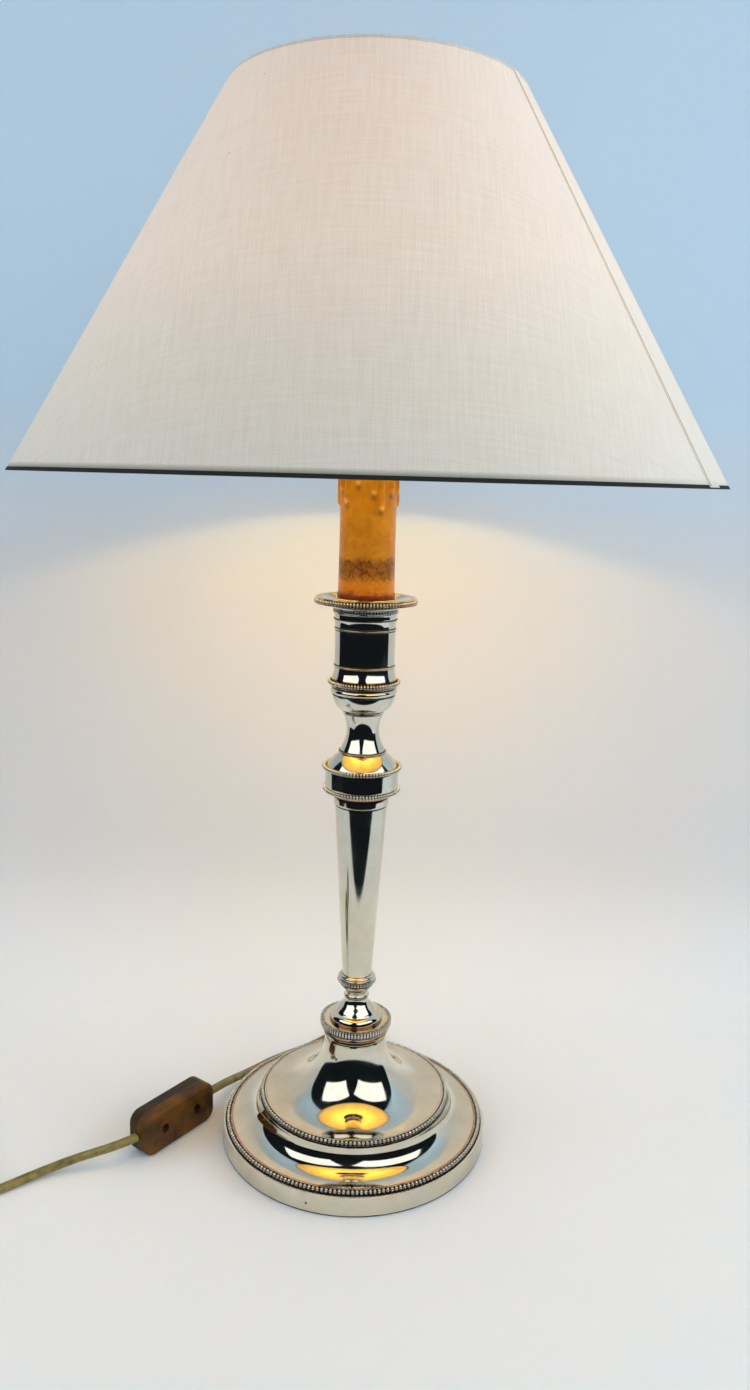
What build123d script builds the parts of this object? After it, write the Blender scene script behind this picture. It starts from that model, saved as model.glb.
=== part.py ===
"""Silver-plated candlestick table lamp with a candle sleeve, a cone shade and a corded switch.

The frame is +Z up, millimetres, with the origin at the middle of the underside.  The column's
turned pieces are threaded on one tie tube, so each takes its height from the piece below it.
"""

from build123d import *
import os
from math import cos, pi, radians, sin, sqrt, tan

# ---------------------------------------------------------------- driving dimensions
fit = 0.05                 # clearance of a bored or seated piece, on the radius or the height
soft_gap = 0.3             # clearance between pieces that turn past each other
wall = 1.4                 # spun brass wall

# foot
felt_thickness = 1.6
felt_inset = 2.5           # the felt and the plate stay inside the rim by this
plate_thickness = 1.0
rim_lift = 0.4             # the metal rim stays this far off the table
foot_radius = 75.1
foot_band_height = 10.8
bead_ledge = 3.9           # width of the ledge that carries the outer beads
foot_bead_radius = 1.2
outer_beads = 197
inner_beads = 146
step_radius = 53.9
step_height = 25.6
step_ledge = 2.5
trumpet_start = 50.5
neck_radius = 17.4
neck_flare = 7.9           # height of the flare over the neck
foot_height = 67.9
foot_top_radius = 19.4

# weight in the foot
weight_inset = 15.1
weight_inner = 27.0
weight_height = 9.0
weight_slot = 9.0

# tie tube and its nut
tube_radius = 5.0
tube_bore = 3.6
tube_bottom = 44.0
nut_across_flats = 17.0
nut_height = 5.0
washer_radius = 14.5
washer_height = 2.0

# collar and pedestal
collar_radius = 19.9
collar_height = 3.5
collar_lip = 0.45
tick_depth = 1.35
tick_cut = 0.7             # depth of the grooves between ticks
collar_ticks = 72
pedestal_base_radius = 14.9
pedestal_height = 24.3
waist_radius = 6.6
pedestal_bead_radius = 1.1
pedestal_beads = 38
seat_height = 2.9
seat_radius = 10.6
spigot_height = 4.0

# column
column_height = 99.6
column_bottom_radius = 8.2
column_top_radius = 14.2

# knop
knop_collar_radius = 14.9
knop_collar_height = 4.6
knop_band_radius = 19.8
knop_under_height = 2.9
knop_bead_radius = 1.25
knop_beads = 75
knop_band_height = 9.7
shoulder_height = 9.2
shoulder_top_radius = 12.6

# waisted neck
flange_radius = 13.0
flange_height = 1.1
neck_piece_height = 23.1
neck_waist_radius = 8.7
neck_top_radius = 11.3

# cup
bowl_height = 14.1
bowl_bottom_radius = 11.8
bowl_radius = 16.8
torus_bulge = 1.3
barrel_radius = 16.0
barrel_flare_radius = 17.5
barrel_height = 32.6
line_bulge = 0.5
lower_line = 7.5           # heights of the two raised lines in the barrel
upper_line = 27.2
cup_beads = 69

# drip pan
pan_radius = 27.0
pan_height = 10.5
pan_ledge = 2.4
pan_bead_radius = 1.25
pan_beads = 98
pan_ticks = 63
tick_ring_radius = 17.2
tick_ring_height = 1.8
tick_ring_rise = 3.45
pan_lip_height = 0.6

# candle sleeve
sleeve_base_radius = 14.8
sleeve_top_radius = 14.5
sleeve_bore = 12.6
sleeve_height = 88.6
glue_height = 3.0
sleeve_foot = 28.0         # height over which the sleeve narrows
drip_radius = 1.65
drip_centre = 14.3

# lampholder
holder_radius = 12.3
holder_bore = 9.6
holder_base_height = 14.0
holder_cap_wall = 3.0
holder_body_height = 33.8
holder_flange_radius = 17.0
holder_flange_height = 1.5
skirt_radius = 13.9
skirt_height = 12.6
ring_nut_radius = 18.0
ring_nut_height = 6.0
fitter_thickness = 1.5
shell_bore = 7.15
shell_wall = 0.5
shell_height = 18.0

# bulb
cap_radius = 6.95
cap_height = 19.5
bulb_radius = 17.5
bulb_glass_height = 77.0
glass_wall = 0.9
stem_height = 22.0
filament_height = 30.0
filament_radius = 0.8

# shade
shade_bottom_radius = 175.0
shade_top_radius = 71.8
shade_height = 176.9
shade_rise = 371.4         # height of the bottom edge over the table
cover_thickness = 0.7
liner_thickness = 0.5
hem_width = 6.5
hem_thickness = 0.6
ring_wire = 3.0
arm_wire = 2.6
arm_count = 3
arm_knee_radius = 38.0
arm_reach = 21.0

# cord, switch and plug
cord_diameter = 5.2
cord_floor = 0.1           # daylight under the cord
exit_angle = 78.0          # bearing of the cord's exit from +X
exit_height = 6.6
bush_hole = 3.7
bush_radius = 4.4
bush_reach = 3.0
coil_turns = 4             # in each of the two layers
coil_radius = 39.25        # outermost half turn, on the cord's centre line
coil_gap = 0.7             # between neighbouring turns and layers
coil_middle = (-238.0, -56.0)
coil_heading = 222.5       # bearing in which the cord runs into and out of the coil
plug_lead = 40.0           # from the coil to the plug
switch_length = 52.0
switch_width = 24.0        # stands upright, because the switch lies on its side
switch_depth = 15.0
switch_corner = 7.0
switch_edge = 2.2
switch_wall = 2.0
switch_bearing = 53.1
switch_middle = (-103.5, -8.5)
screw_spacing = 24.0
screw_offset = 0.9
screw_shank = 1.3
screw_head = 2.45
boss_radius = 2.8
rocker_length = 16.8
rocker_width = 11.0
rocker_proud = 1.4
rocker_tilt = 7.0
rocker_pivot = 4.5         # depth of its pivot pin under the back face
rocker_pin = 1.0
rocker_slot = 19.2
plug_width = 35.3
plug_depth = 13.7
plug_length = 34.0
plug_tail = 15.0           # width where the cord goes in
pin_radius = 2.0
pin_length = 19.0
pin_spacing = 18.6

# ---------------------------------------------------------------- sizes and heights that follow
felt_radius = foot_radius - felt_inset
weight_outer = foot_radius - weight_inset
neck_height = foot_height - neck_flare
collar_bottom = foot_height + fit
collar_top = collar_bottom + collar_height
pedestal_bottom = collar_top + fit
pedestal_top = pedestal_bottom + pedestal_height
seat_bottom = pedestal_top + fit
seat_top = seat_bottom + seat_height
column_bottom = seat_top + fit
column_top = column_bottom + column_height
knop_bottom = column_top + fit
knop_under = knop_bottom + knop_collar_height
knop_ledge = knop_under + knop_under_height
band_bottom = knop_ledge + 2 * knop_bead_radius + fit
band_top = band_bottom + knop_band_height
shoulder_bottom = band_top + 2 * knop_bead_radius - 0.6
knop_top = band_top + shoulder_height
neck_bottom = knop_top + fit
neck_top = neck_bottom + neck_piece_height
bowl_bottom = neck_top + fit
bowl_top = bowl_bottom + bowl_height
cup_spigot_top = bowl_top + 2 * knop_bead_radius + fit
barrel_bottom = cup_spigot_top + fit
barrel_top = barrel_bottom + barrel_height
pan_bottom = barrel_top + fit
pan_top = pan_bottom + pan_height
sleeve_bottom = pan_top + fit
sleeve_top = sleeve_bottom + sleeve_height
flange_bottom = sleeve_top + soft_gap
flange_top = flange_bottom + holder_flange_height
holder_body_bottom = flange_bottom - holder_body_height
holder_bottom = holder_body_bottom - fit - holder_base_height
tube_top = holder_bottom + holder_cap_wall + 4.0
fitter_bottom = flange_top + soft_gap
fitter_top = fitter_bottom + fitter_thickness
ring_nut_bottom = fitter_top + soft_gap
skirt_top = flange_top + skirt_height
insulator_top = skirt_top - shell_height - 5.0
bulb_base = insulator_top + 2.0 + 2 * fit
bulb_cap_bottom = bulb_base + 3.0
bulb_cap_top = bulb_cap_bottom + cap_height
shade_top = shade_rise + shade_height
cord_radius = cord_diameter / 2
cord_level = cord_radius + cord_floor
bore_radius = tube_radius + fit
side = Plane.XZ

pieces = {}


def keep(label, builder):
    """Files a finished piece under the name of its node."""
    builder.part.label = label
    pieces[label] = builder.part


def turned(label, outline):
    """A turned piece: outline draws a closed half section, which is spun round the axis."""
    with BuildPart() as body:
        with BuildSketch(side):
            with BuildLine():
                outline()
            make_face()
        revolve(axis=Axis.Z)
    keep(label, body)


def wire_ring(label, radius, height, thickness):
    """A ring of round wire, centred on a radius and a height."""
    with BuildPart() as ring:
        with BuildSketch(side):
            with Locations((radius, height)):
                Circle(thickness / 2)
        revolve(axis=Axis.Z)
    keep(label, ring)


def bead_ring(label, radius, height, bead, count):
    """A row of faceted beads standing out of one band, centred on a radius and a height."""
    pitch = 2 * pi / count
    with BuildPart() as ring:
        for rise, fullness in ((-bead, 0.45), (0, 1.0), (bead, 0.45)):
            crest = radius + bead * fullness
            valley = radius + bead * fullness * 0.35
            points = []
            for index in range(count):
                points.append((crest * cos(index * pitch), crest * sin(index * pitch)))
                points.append((valley * cos((index + 0.5) * pitch), valley * sin((index + 0.5) * pitch)))
            with BuildSketch(Plane.XY.offset(height + rise)):
                with BuildLine():
                    Polyline(*points, close=True)
                make_face()
        loft(ruled=True)
        with BuildSketch(Plane.XY.offset(height - bead)):
            Circle(radius - bead)
        extrude(amount=2 * bead, mode=Mode.SUBTRACT)
    keep(label, ring)


def tick_ring(label, outer, inner, bottom, top, count):
    """A low band cut into upright ticks."""
    pitch = 2 * pi / count
    points = []
    for index in range(count):
        for share, distance in ((-0.5, outer - tick_cut), (-0.22, outer), (0.22, outer)):
            angle = (index + share) * pitch
            points.append((distance * cos(angle), distance * sin(angle)))
    with BuildPart() as ring:
        with BuildSketch(Plane.XY.offset(bottom)):
            with BuildLine():
                Polyline(*points, close=True)
            make_face()
            Circle(inner, mode=Mode.SUBTRACT)
        extrude(amount=top - bottom)
    keep(label, ring)


def washer(label, outer, inner, bottom, top):
    """A plain ring or tube round the axis."""
    with BuildPart() as ring:
        with BuildSketch(Plane.XY.offset(bottom)):
            Circle(outer)
            Circle(inner, mode=Mode.SUBTRACT)
        extrude(amount=top - bottom)
    keep(label, ring)


# ---------------------------------------------------------------- foot
band_top_z = rim_lift + foot_band_height
cove_start = foot_radius - 0.3 - bead_ledge
cove_base = band_top_z + foot_bead_radius * 1.4
step_foot = step_height - 1.0
trumpet_base = step_height + 1.9

with BuildPart() as foot:
    with BuildSketch(side):
        with BuildLine():
            Polyline(
                (foot_radius - wall, rim_lift),
                (foot_radius, rim_lift),
                (foot_radius - 0.3, band_top_z),
                (cove_start, band_top_z),
                (cove_start, cove_base),
            )
            cove = Bezier(
                (cove_start, cove_base),
                (cove_start - 9.5, cove_base),
                (step_radius + 0.5, step_foot - 9.0),
                (step_radius, step_foot),
            )
            Polyline(
                cove @ 1,
                (step_radius - 0.3, step_height),
                (step_radius - step_ledge, step_height),
                (step_radius - step_ledge, trumpet_base),
                (trumpet_start, trumpet_base),
            )
            trumpet = Bezier(
                (trumpet_start, trumpet_base),
                (trumpet_start - 17.0, trumpet_base),
                (neck_radius, neck_height - 19.0),
                (neck_radius, neck_height),
            )
            flare = Bezier(
                trumpet @ 1,
                (neck_radius, neck_height + 4.0),
                (foot_top_radius, foot_height - 3.5),
                (foot_top_radius, foot_height),
            )
            Polyline(
                flare @ 1,
                (bore_radius, foot_height),
                (bore_radius, foot_height - wall),
                (foot_top_radius - wall - 1.0, foot_height - wall),
                (neck_radius - wall, foot_height - 2 * wall - 1.0),
                (neck_radius - wall, neck_height),
            )
            under_trumpet = Bezier(
                (neck_radius - wall, neck_height),
                (neck_radius - wall, neck_height - 19.0 - 0.4 * wall),
                (trumpet_start - 17.0 - 0.6 * wall, trumpet_base - wall),
                (trumpet_start - wall, trumpet_base - wall),
            )
            Polyline(
                under_trumpet @ 1,
                (step_radius - step_ledge - wall, trumpet_base - wall),
                (step_radius - step_ledge - wall, step_height - wall),
                (step_radius - wall, step_height - wall),
                (step_radius - wall, step_foot - wall),
            )
            under_cove = Bezier(
                (step_radius - wall, step_foot - wall),
                (step_radius - wall + 0.2, step_foot - wall - 8.6),
                (cove_start - wall - 9.5, cove_base - wall),
                (cove_start - wall, cove_base - wall),
            )
            Polyline(
                under_cove @ 1,
                (cove_start - wall, band_top_z - wall),
                (foot_radius - 0.3 - wall, band_top_z - wall),
                (foot_radius - wall, rim_lift),
            )
        make_face()
    revolve(axis=Axis.Z)
    exit_plane = Plane(
        origin=(0, 0, exit_height), x_dir=(0, 0, 1),
        z_dir=(cos(radians(exit_angle)), sin(radians(exit_angle)), 0),
    )
    with BuildSketch(exit_plane.offset(foot_radius - 8)):
        Circle(bush_hole)
    extrude(amount=16, mode=Mode.SUBTRACT)
keep("foot", foot)

outer_bead_center = foot_radius - 0.3 - bead_ledge + foot_bead_radius + fit
bead_ring(
    "foot_outer_beads", outer_bead_center, band_top_z + foot_bead_radius + fit,
    foot_bead_radius, outer_beads,
)
inner_bead_radius = foot_bead_radius - 0.05
bead_ring(
    "foot_inner_beads", step_radius - step_ledge + inner_bead_radius + fit,
    step_height + inner_bead_radius + fit, inner_bead_radius, inner_beads,
)

with BuildPart() as felt:
    with BuildSketch(Plane.XY):
        Circle(felt_radius)
    extrude(amount=felt_thickness)
keep("base_felt", felt)

plate_bottom = felt_thickness + fit
plate_top = plate_bottom + plate_thickness
with BuildPart() as plate:
    with BuildSketch(Plane.XY.offset(plate_bottom)):
        Circle(felt_radius)
    extrude(amount=plate_thickness)
keep("base_plate", plate)

weight_bottom = plate_top + fit
with BuildPart() as weight:
    with BuildSketch(Plane.XY.offset(weight_bottom)):
        Circle(weight_outer)
        Circle(weight_inner, mode=Mode.SUBTRACT)
        with Locations(Location((0, 0), exit_angle)):
            Rectangle(weight_outer + 5, weight_slot, align=(Align.MIN, Align.CENTER), mode=Mode.SUBTRACT)
    extrude(amount=weight_height)
    fillet(weight.edges().group_by(Axis.Z)[-1].filter_by(GeomType.CIRCLE), 1.5)
keep("foot_weight", weight)

# ---------------------------------------------------------------- tie tube
washer("tie_tube", tube_radius, tube_bore, tube_bottom, tube_top)
washer_top = foot_height - wall - fit
washer("tie_washer", washer_radius, bore_radius, washer_top - washer_height, washer_top)
nut_top = washer_top - washer_height - fit
with BuildPart() as nut:
    with BuildSketch(Plane.XY.offset(nut_top - nut_height)):
        RegularPolygon(nut_across_flats / 2, 6, major_radius=False)
        Circle(bore_radius, mode=Mode.SUBTRACT)
    extrude(amount=nut_height)
keep("tie_nut", nut)

# ---------------------------------------------------------------- collar and pedestal
groove_radius = collar_radius - tick_depth + 0.35
turned(
    "collar",
    lambda: Polyline(
        (bore_radius, collar_bottom),
        (collar_radius, collar_bottom),
        (collar_radius, collar_bottom + collar_lip),
        (groove_radius, collar_bottom + collar_lip),
        (groove_radius, collar_top),
        (bore_radius, collar_top),
        close=True,
    ),
)
tick_ring(
    "collar_beads", collar_radius + 0.35, groove_radius + fit,
    collar_bottom + collar_lip + fit, collar_top - fit, collar_ticks,
)

bead_ledge_z = pedestal_top - 2 * pedestal_bead_radius - fit
bead_wall = seat_radius - 2 * pedestal_bead_radius + 0.35


def pedestal_outline():
    """Dome, waist and the ledge for the small beads, from the bottom up."""
    base = pedestal_base_radius
    low = pedestal_bottom
    foot_edge = Polyline((bore_radius, low), (base - 0.6, low), (base, low + 0.6), (base, low + 1.3))
    dome = RadiusArc(foot_edge @ 1, (base - 3.2, low + 4.4), -3.6)
    lip = Line(dome @ 1, (base - 3.5, low + 4.8))
    bell = Bezier(lip @ 1, (base - 5.4, low + 8.4), (waist_radius, low + 9.0), (waist_radius, low + 13.2))
    ring = ThreePointArc(bell @ 1, (waist_radius + 0.5, low + 14.2), (waist_radius, low + 15.2))
    cup = Bezier(
        ring @ 1, (waist_radius + 0.1, bead_ledge_z - 3.0),
        (bead_wall + 0.9, bead_ledge_z - 3.0), (bead_wall + 1.0, bead_ledge_z),
    )
    top = Polyline(cup @ 1, (bead_wall, bead_ledge_z), (bead_wall, pedestal_top), (bore_radius, pedestal_top))
    Line(top @ 1, foot_edge @ 0)


turned("pedestal", pedestal_outline)
bead_ring(
    "pedestal_beads", bead_wall + pedestal_bead_radius + fit,
    bead_ledge_z + pedestal_bead_radius + fit, pedestal_bead_radius, pedestal_beads,
)

column_slope = (column_top_radius - column_bottom_radius) / column_height
column_bore_bottom = column_bottom_radius - wall
column_bore_top = column_top_radius - wall
turned(
    "column_seat",
    lambda: Polyline(
        (bore_radius, seat_bottom),
        (seat_radius - 0.4, seat_bottom),
        (seat_radius, seat_bottom + 0.4),
        (seat_radius - 0.3, seat_bottom + 1.2),
        (seat_radius - 1.1, seat_bottom + 1.4),
        (seat_radius - 0.9, seat_bottom + 2.0),
        (seat_radius - 1.4, seat_bottom + 2.5),
        (seat_radius - 2.0, seat_top),
        (column_bore_bottom - fit, seat_top),
        (column_bore_bottom - fit, seat_top + spigot_height),
        (bore_radius, seat_top + spigot_height),
        close=True,
    ),
)
turned(
    "column",
    lambda: Polyline(
        (column_bore_bottom, column_bottom),
        (column_bottom_radius, column_bottom),
        (column_top_radius, column_top),
        (column_bore_top, column_top),
        close=True,
    ),
)


# ---------------------------------------------------------------- knop and waisted neck
under_radius = knop_band_radius - 1.2
shoulder_radius = knop_band_radius - 0.75


def knop_outline():
    """Coppery collar, banded drum and domed shoulder, spun hollow."""
    spigot = column_bore_top - column_slope * spigot_height - fit
    start = (bore_radius, knop_bottom - spigot_height)
    under = Polyline(
        start,
        (spigot, knop_bottom - spigot_height),
        (spigot, knop_bottom),
        (knop_collar_radius - 0.5, knop_bottom),
        (knop_collar_radius, knop_bottom + 0.6),
        (knop_collar_radius, knop_under - 0.5),
        (knop_collar_radius - 0.2, knop_under),
        (under_radius, knop_ledge),
        (under_radius, band_bottom),
        (knop_band_radius, band_bottom),
        (knop_band_radius, band_top),
        (shoulder_radius, band_top),
        (shoulder_radius, shoulder_bottom),
    )
    dome = RadiusArc(under @ 1, (shoulder_top_radius, knop_top), -13.0)
    Polyline(
        dome @ 1,
        (bore_radius, knop_top),
        (bore_radius, knop_top - wall),
        (shoulder_top_radius - 2.0, knop_top - wall - 0.6),
        (shoulder_radius - wall, shoulder_bottom - wall),
        (knop_band_radius - 2 * wall, band_bottom + wall),
        (knop_collar_radius - wall, knop_under + wall),
        (bore_radius, knop_under + wall),
        start,
    )


turned("knop", knop_outline)
bead_ring(
    "knop_lower_beads", under_radius + knop_bead_radius + fit,
    band_bottom - knop_bead_radius - fit, knop_bead_radius, knop_beads,
)
bead_ring(
    "knop_upper_beads", shoulder_radius + knop_bead_radius + fit,
    band_top + knop_bead_radius + fit, knop_bead_radius, knop_beads,
)


def neck_outline():
    """Flange, concave waist and the small fillet under the cup."""
    start = (bore_radius, neck_bottom)
    flange = Polyline(
        start,
        (flange_radius - 0.3, neck_bottom),
        (flange_radius, neck_bottom + 0.3),
        (flange_radius, neck_bottom + flange_height - 0.3),
        (flange_radius - 0.7, neck_bottom + flange_height),
    )
    waist = Bezier(
        flange @ 1,
        (flange_radius - 2.4, neck_bottom + 4.5),
        (neck_waist_radius - 0.2, neck_bottom + 8.0),
        (neck_waist_radius, neck_bottom + 12.8),
    )
    throat = Bezier(
        waist @ 1,
        (neck_waist_radius + 0.1, neck_bottom + 17.0),
        (neck_top_radius - 1.2, neck_top - 3.6),
        (neck_top_radius - 0.5, neck_top - 1.4),
    )
    Polyline(
        throat @ 1,
        (neck_top_radius, neck_top - 1.2),
        (neck_top_radius, neck_top - 0.3),
        (neck_top_radius - 0.4, neck_top),
        (bore_radius, neck_top),
        start,
    )


turned("neck", neck_outline)

# ---------------------------------------------------------------- cup, barrel and drip pan
cup_wall_radius = bowl_radius + 0.1


def bowl_outline():
    """Rounded bowl with a torus moulding and the spigot that the barrel sits on."""
    start = (bore_radius, bowl_bottom)
    low = Line(start, (bowl_bottom_radius - 0.6, bowl_bottom))
    belly = Bezier(
        low @ 1,
        (bowl_bottom_radius + 2.4, bowl_bottom + 0.6),
        (bowl_radius - 0.5, bowl_bottom + 4.4),
        (bowl_radius, bowl_bottom + 8.6),
    )
    groove = Line(belly @ 1, (bowl_radius, bowl_bottom + 9.2))
    torus = ThreePointArc(
        groove @ 1,
        (bowl_radius + torus_bulge, bowl_bottom + 10.8),
        (bowl_radius, bowl_bottom + 12.4),
    )
    Polyline(
        torus @ 1,
        (bowl_radius, bowl_bottom + 12.9),
        (bowl_radius + 1.1, bowl_bottom + 13.3),
        (bowl_radius + 1.1, bowl_top),
        (cup_wall_radius, bowl_top),
        (cup_wall_radius, cup_spigot_top),
        (bowl_radius - wall, cup_spigot_top),
        (bowl_radius - wall, bowl_bottom + 8.6),
        (bowl_bottom_radius - 1.0, bowl_bottom + 2.4),
        (bore_radius, bowl_bottom + 2.4),
        start,
    )


turned("cup_bowl", bowl_outline)
bead_ring(
    "cup_beads", cup_wall_radius + knop_bead_radius + fit,
    bowl_top + knop_bead_radius + fit, knop_bead_radius, cup_beads,
)
line_low = barrel_bottom + lower_line
line_high = barrel_bottom + upper_line


def barrel_outline():
    """Straight barrel with a flared foot, a flared lip and two raised lines."""
    bore = barrel_radius - wall
    start = (bore, barrel_bottom)
    foot_line = Line(start, (barrel_flare_radius, barrel_bottom))
    flare = Bezier(
        foot_line @ 1,
        (barrel_flare_radius - 0.5, barrel_bottom + 2.6),
        (barrel_radius + 0.1, barrel_bottom + 3.4),
        (barrel_radius, line_low - 0.5),
    )
    body = Polyline(
        flare @ 1,
        (barrel_radius + line_bulge, line_low - 0.3),
        (barrel_radius + line_bulge, line_low + 0.3),
        (barrel_radius, line_low + 0.5),
        (barrel_radius, line_high - 0.5),
        (barrel_radius + line_bulge, line_high - 0.3),
        (barrel_radius + line_bulge, line_high + 0.3),
        (barrel_radius, line_high + 0.5),
        (barrel_radius, line_high + 2.0),
    )
    lip = Bezier(body @ 1, (barrel_radius + 0.1, barrel_top - 1.6), (barrel_radius + 0.9, barrel_top))
    Polyline(lip @ 1, (bore, barrel_top), start)


turned("cup_barrel", barrel_outline)
pan_edge = pan_top - 2 * pan_bead_radius - fit
tick_bottom = pan_bottom + tick_ring_rise


def pan_outline():
    """Shallow dish with a plug that drops into the barrel and a wide rim."""
    start = (bore_radius, pan_bottom - spigot_height)
    plug_radius = barrel_radius - wall - fit
    under = Polyline(
        start,
        (plug_radius, pan_bottom - spigot_height),
        (plug_radius, pan_bottom),
        (barrel_radius + 0.4, pan_bottom),
        (barrel_radius + 0.4, tick_bottom - 1.0),
        (tick_ring_radius, tick_bottom - 0.7),
        (tick_ring_radius, tick_bottom - fit),
        (tick_ring_radius - 1.2, tick_bottom - fit),
        (tick_ring_radius - 1.2, tick_bottom + tick_ring_height + fit),
        (tick_ring_radius + 1.0, tick_bottom + tick_ring_height + 0.3),
    )
    cove = Bezier(
        under @ 1,
        (tick_ring_radius + 1.6, pan_edge - 0.9),
        (pan_radius - 4.0, pan_edge - 0.9),
        (pan_radius, pan_edge),
    )
    Polyline(
        cove @ 1,
        (pan_radius - pan_ledge + 0.2, pan_edge),
        (pan_radius - pan_ledge + 0.2, pan_top + fit),
        (pan_radius - 0.5, pan_top + fit),
        (pan_radius - 0.5, pan_top + fit + pan_lip_height),
        (pan_radius - pan_ledge - 1.0, pan_top + fit + pan_lip_height),
        (sleeve_base_radius + 2.0, pan_top - 1.3),
        (sleeve_base_radius + 0.8, pan_top),
        (bore_radius, pan_top),
        start,
    )


turned("drip_pan", pan_outline)
bead_ring(
    "pan_beads", pan_radius - pan_ledge + 0.2 + pan_bead_radius + fit,
    pan_edge + pan_bead_radius + fit, pan_bead_radius, pan_beads,
)
tick_ring(
    "pan_lower_beads", tick_ring_radius, tick_ring_radius - 1.2 + fit,
    tick_bottom, tick_bottom + tick_ring_height, pan_ticks,
)

# ---------------------------------------------------------------- candle sleeve
drips = [
    (188, 58), (215, 66), (236, 61), (254, 69), (277, 60), (297, 67), (318, 58),
    (342, 65), (20, 60), (55, 68), (92, 57), (126, 64), (158, 69),
]
with BuildPart() as sleeve:
    with BuildSketch(side):
        with BuildLine():
            Polyline(
                (sleeve_bore, sleeve_bottom),
                (sleeve_base_radius + 0.5, sleeve_bottom),
                (sleeve_base_radius + 0.5, sleeve_bottom + glue_height - 0.6),
                (sleeve_base_radius, sleeve_bottom + glue_height),
                (sleeve_top_radius, sleeve_bottom + sleeve_foot),
                (sleeve_top_radius, sleeve_top - 1.2),
                (sleeve_top_radius - 1.0, sleeve_top),
                (sleeve_bore, sleeve_top),
                close=True,
            )
        make_face()
    revolve(axis=Axis.Z)
    for bearing, reach in drips:
        across = drip_centre * cos(radians(bearing))
        back = drip_centre * sin(radians(bearing))
        with Locations((across, back, sleeve_top - reach + drip_radius)):
            Sphere(drip_radius)
            Cylinder(
                drip_radius - 0.45, reach - drip_radius - 4.0,
                align=(Align.CENTER, Align.CENTER, Align.MIN),
            )
keep("candle_sleeve", sleeve)

# ---------------------------------------------------------------- lampholder
turned(
    "holder_base",
    lambda: Polyline(
        (bore_radius, holder_bottom),
        (holder_radius - 1.0, holder_bottom),
        (holder_radius, holder_bottom + 1.0),
        (holder_radius, holder_bottom + holder_base_height),
        (holder_bore, holder_bottom + holder_base_height),
        (holder_bore, holder_bottom + holder_cap_wall),
        (bore_radius, holder_bottom + holder_cap_wall),
        close=True,
    ),
)
turned(
    "holder_body",
    lambda: Polyline(
        (holder_bore, holder_body_bottom),
        (holder_radius, holder_body_bottom),
        (holder_radius, flange_bottom),
        (holder_flange_radius, flange_bottom),
        (holder_flange_radius, flange_top),
        (skirt_radius, flange_top),
        (skirt_radius, skirt_top - 0.8),
        (skirt_radius - 0.8, skirt_top),
        (holder_bore, skirt_top),
        close=True,
    ),
)
with BuildPart() as ring_nut:
    with BuildSketch(Plane.XY.offset(ring_nut_bottom)):
        Circle(ring_nut_radius)
        Circle(skirt_radius + fit, mode=Mode.SUBTRACT)
        with PolarLocations(ring_nut_radius, 12):
            Circle(1.1, mode=Mode.SUBTRACT)
    extrude(amount=ring_nut_height)
keep("shade_ring_nut", ring_nut)
shell_outer = shell_bore + shell_wall
washer("holder_shell", shell_outer, shell_bore, insulator_top + fit, insulator_top + shell_height)
with BuildPart() as insulator:
    with BuildSketch(Plane.XY.offset(insulator_top - 12.0)):
        Circle(holder_bore - fit)
        with Locations((6.0, 0), (-6.0, 0)):
            Circle(1.6 + fit, mode=Mode.SUBTRACT)
    extrude(amount=12.0)
keep("holder_insulator", insulator)
with BuildPart() as contact:
    with BuildSketch(Plane.XY.offset(insulator_top + fit)):
        Rectangle(9.0, 3.6)
    extrude(amount=1.0)
    with BuildSketch(Plane.XY.offset(insulator_top + fit + 1.0)):
        Circle(1.8)
    extrude(amount=1.0)
keep("holder_contact", contact)
with BuildPart() as terminals:
    with BuildSketch(Plane.XY.offset(insulator_top - 14.0)):
        with Locations((6.0, 0), (-6.0, 0)):
            Circle(1.6)
    extrude(amount=8.0)
keep("terminal_screws", terminals)

# ---------------------------------------------------------------- bulb
turned(
    "bulb_contact",
    lambda: Polyline(
        (0, bulb_base), (2.4, bulb_base + 0.3), (2.4, bulb_base + 1.0), (0, bulb_base + 1.0), close=True,
    ),
)
turned(
    "bulb_insulator",
    lambda: Polyline(
        (0, bulb_base + 1.0 + fit), (3.0, bulb_base + 1.0 + fit),
        (cap_radius - 1.2, bulb_cap_bottom - fit), (0, bulb_cap_bottom - fit), close=True,
    ),
)


def cap_outline():
    """Rolled edison thread of the bulb's cap, open at the top."""
    low, turns, pitch = bulb_cap_bottom, 4, 2.8
    points = [(0, low), (cap_radius - 1.0, low)]
    for turn in range(turns):
        crest = low + 0.9 + pitch * (turn + 0.5)
        points += [(cap_radius - 0.7, crest - pitch / 2), (cap_radius, crest - 0.5), (cap_radius, crest + 0.5)]
    points += [(cap_radius - 0.7, low + 0.9 + pitch * turns), (cap_radius - 0.2, bulb_cap_top)]
    points += [(cap_radius - 1.2, bulb_cap_top), (cap_radius - 1.6, low + 1.0), (0, low + 1.0)]
    Polyline(*points, close=True)


turned("bulb_cap", cap_outline)


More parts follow.
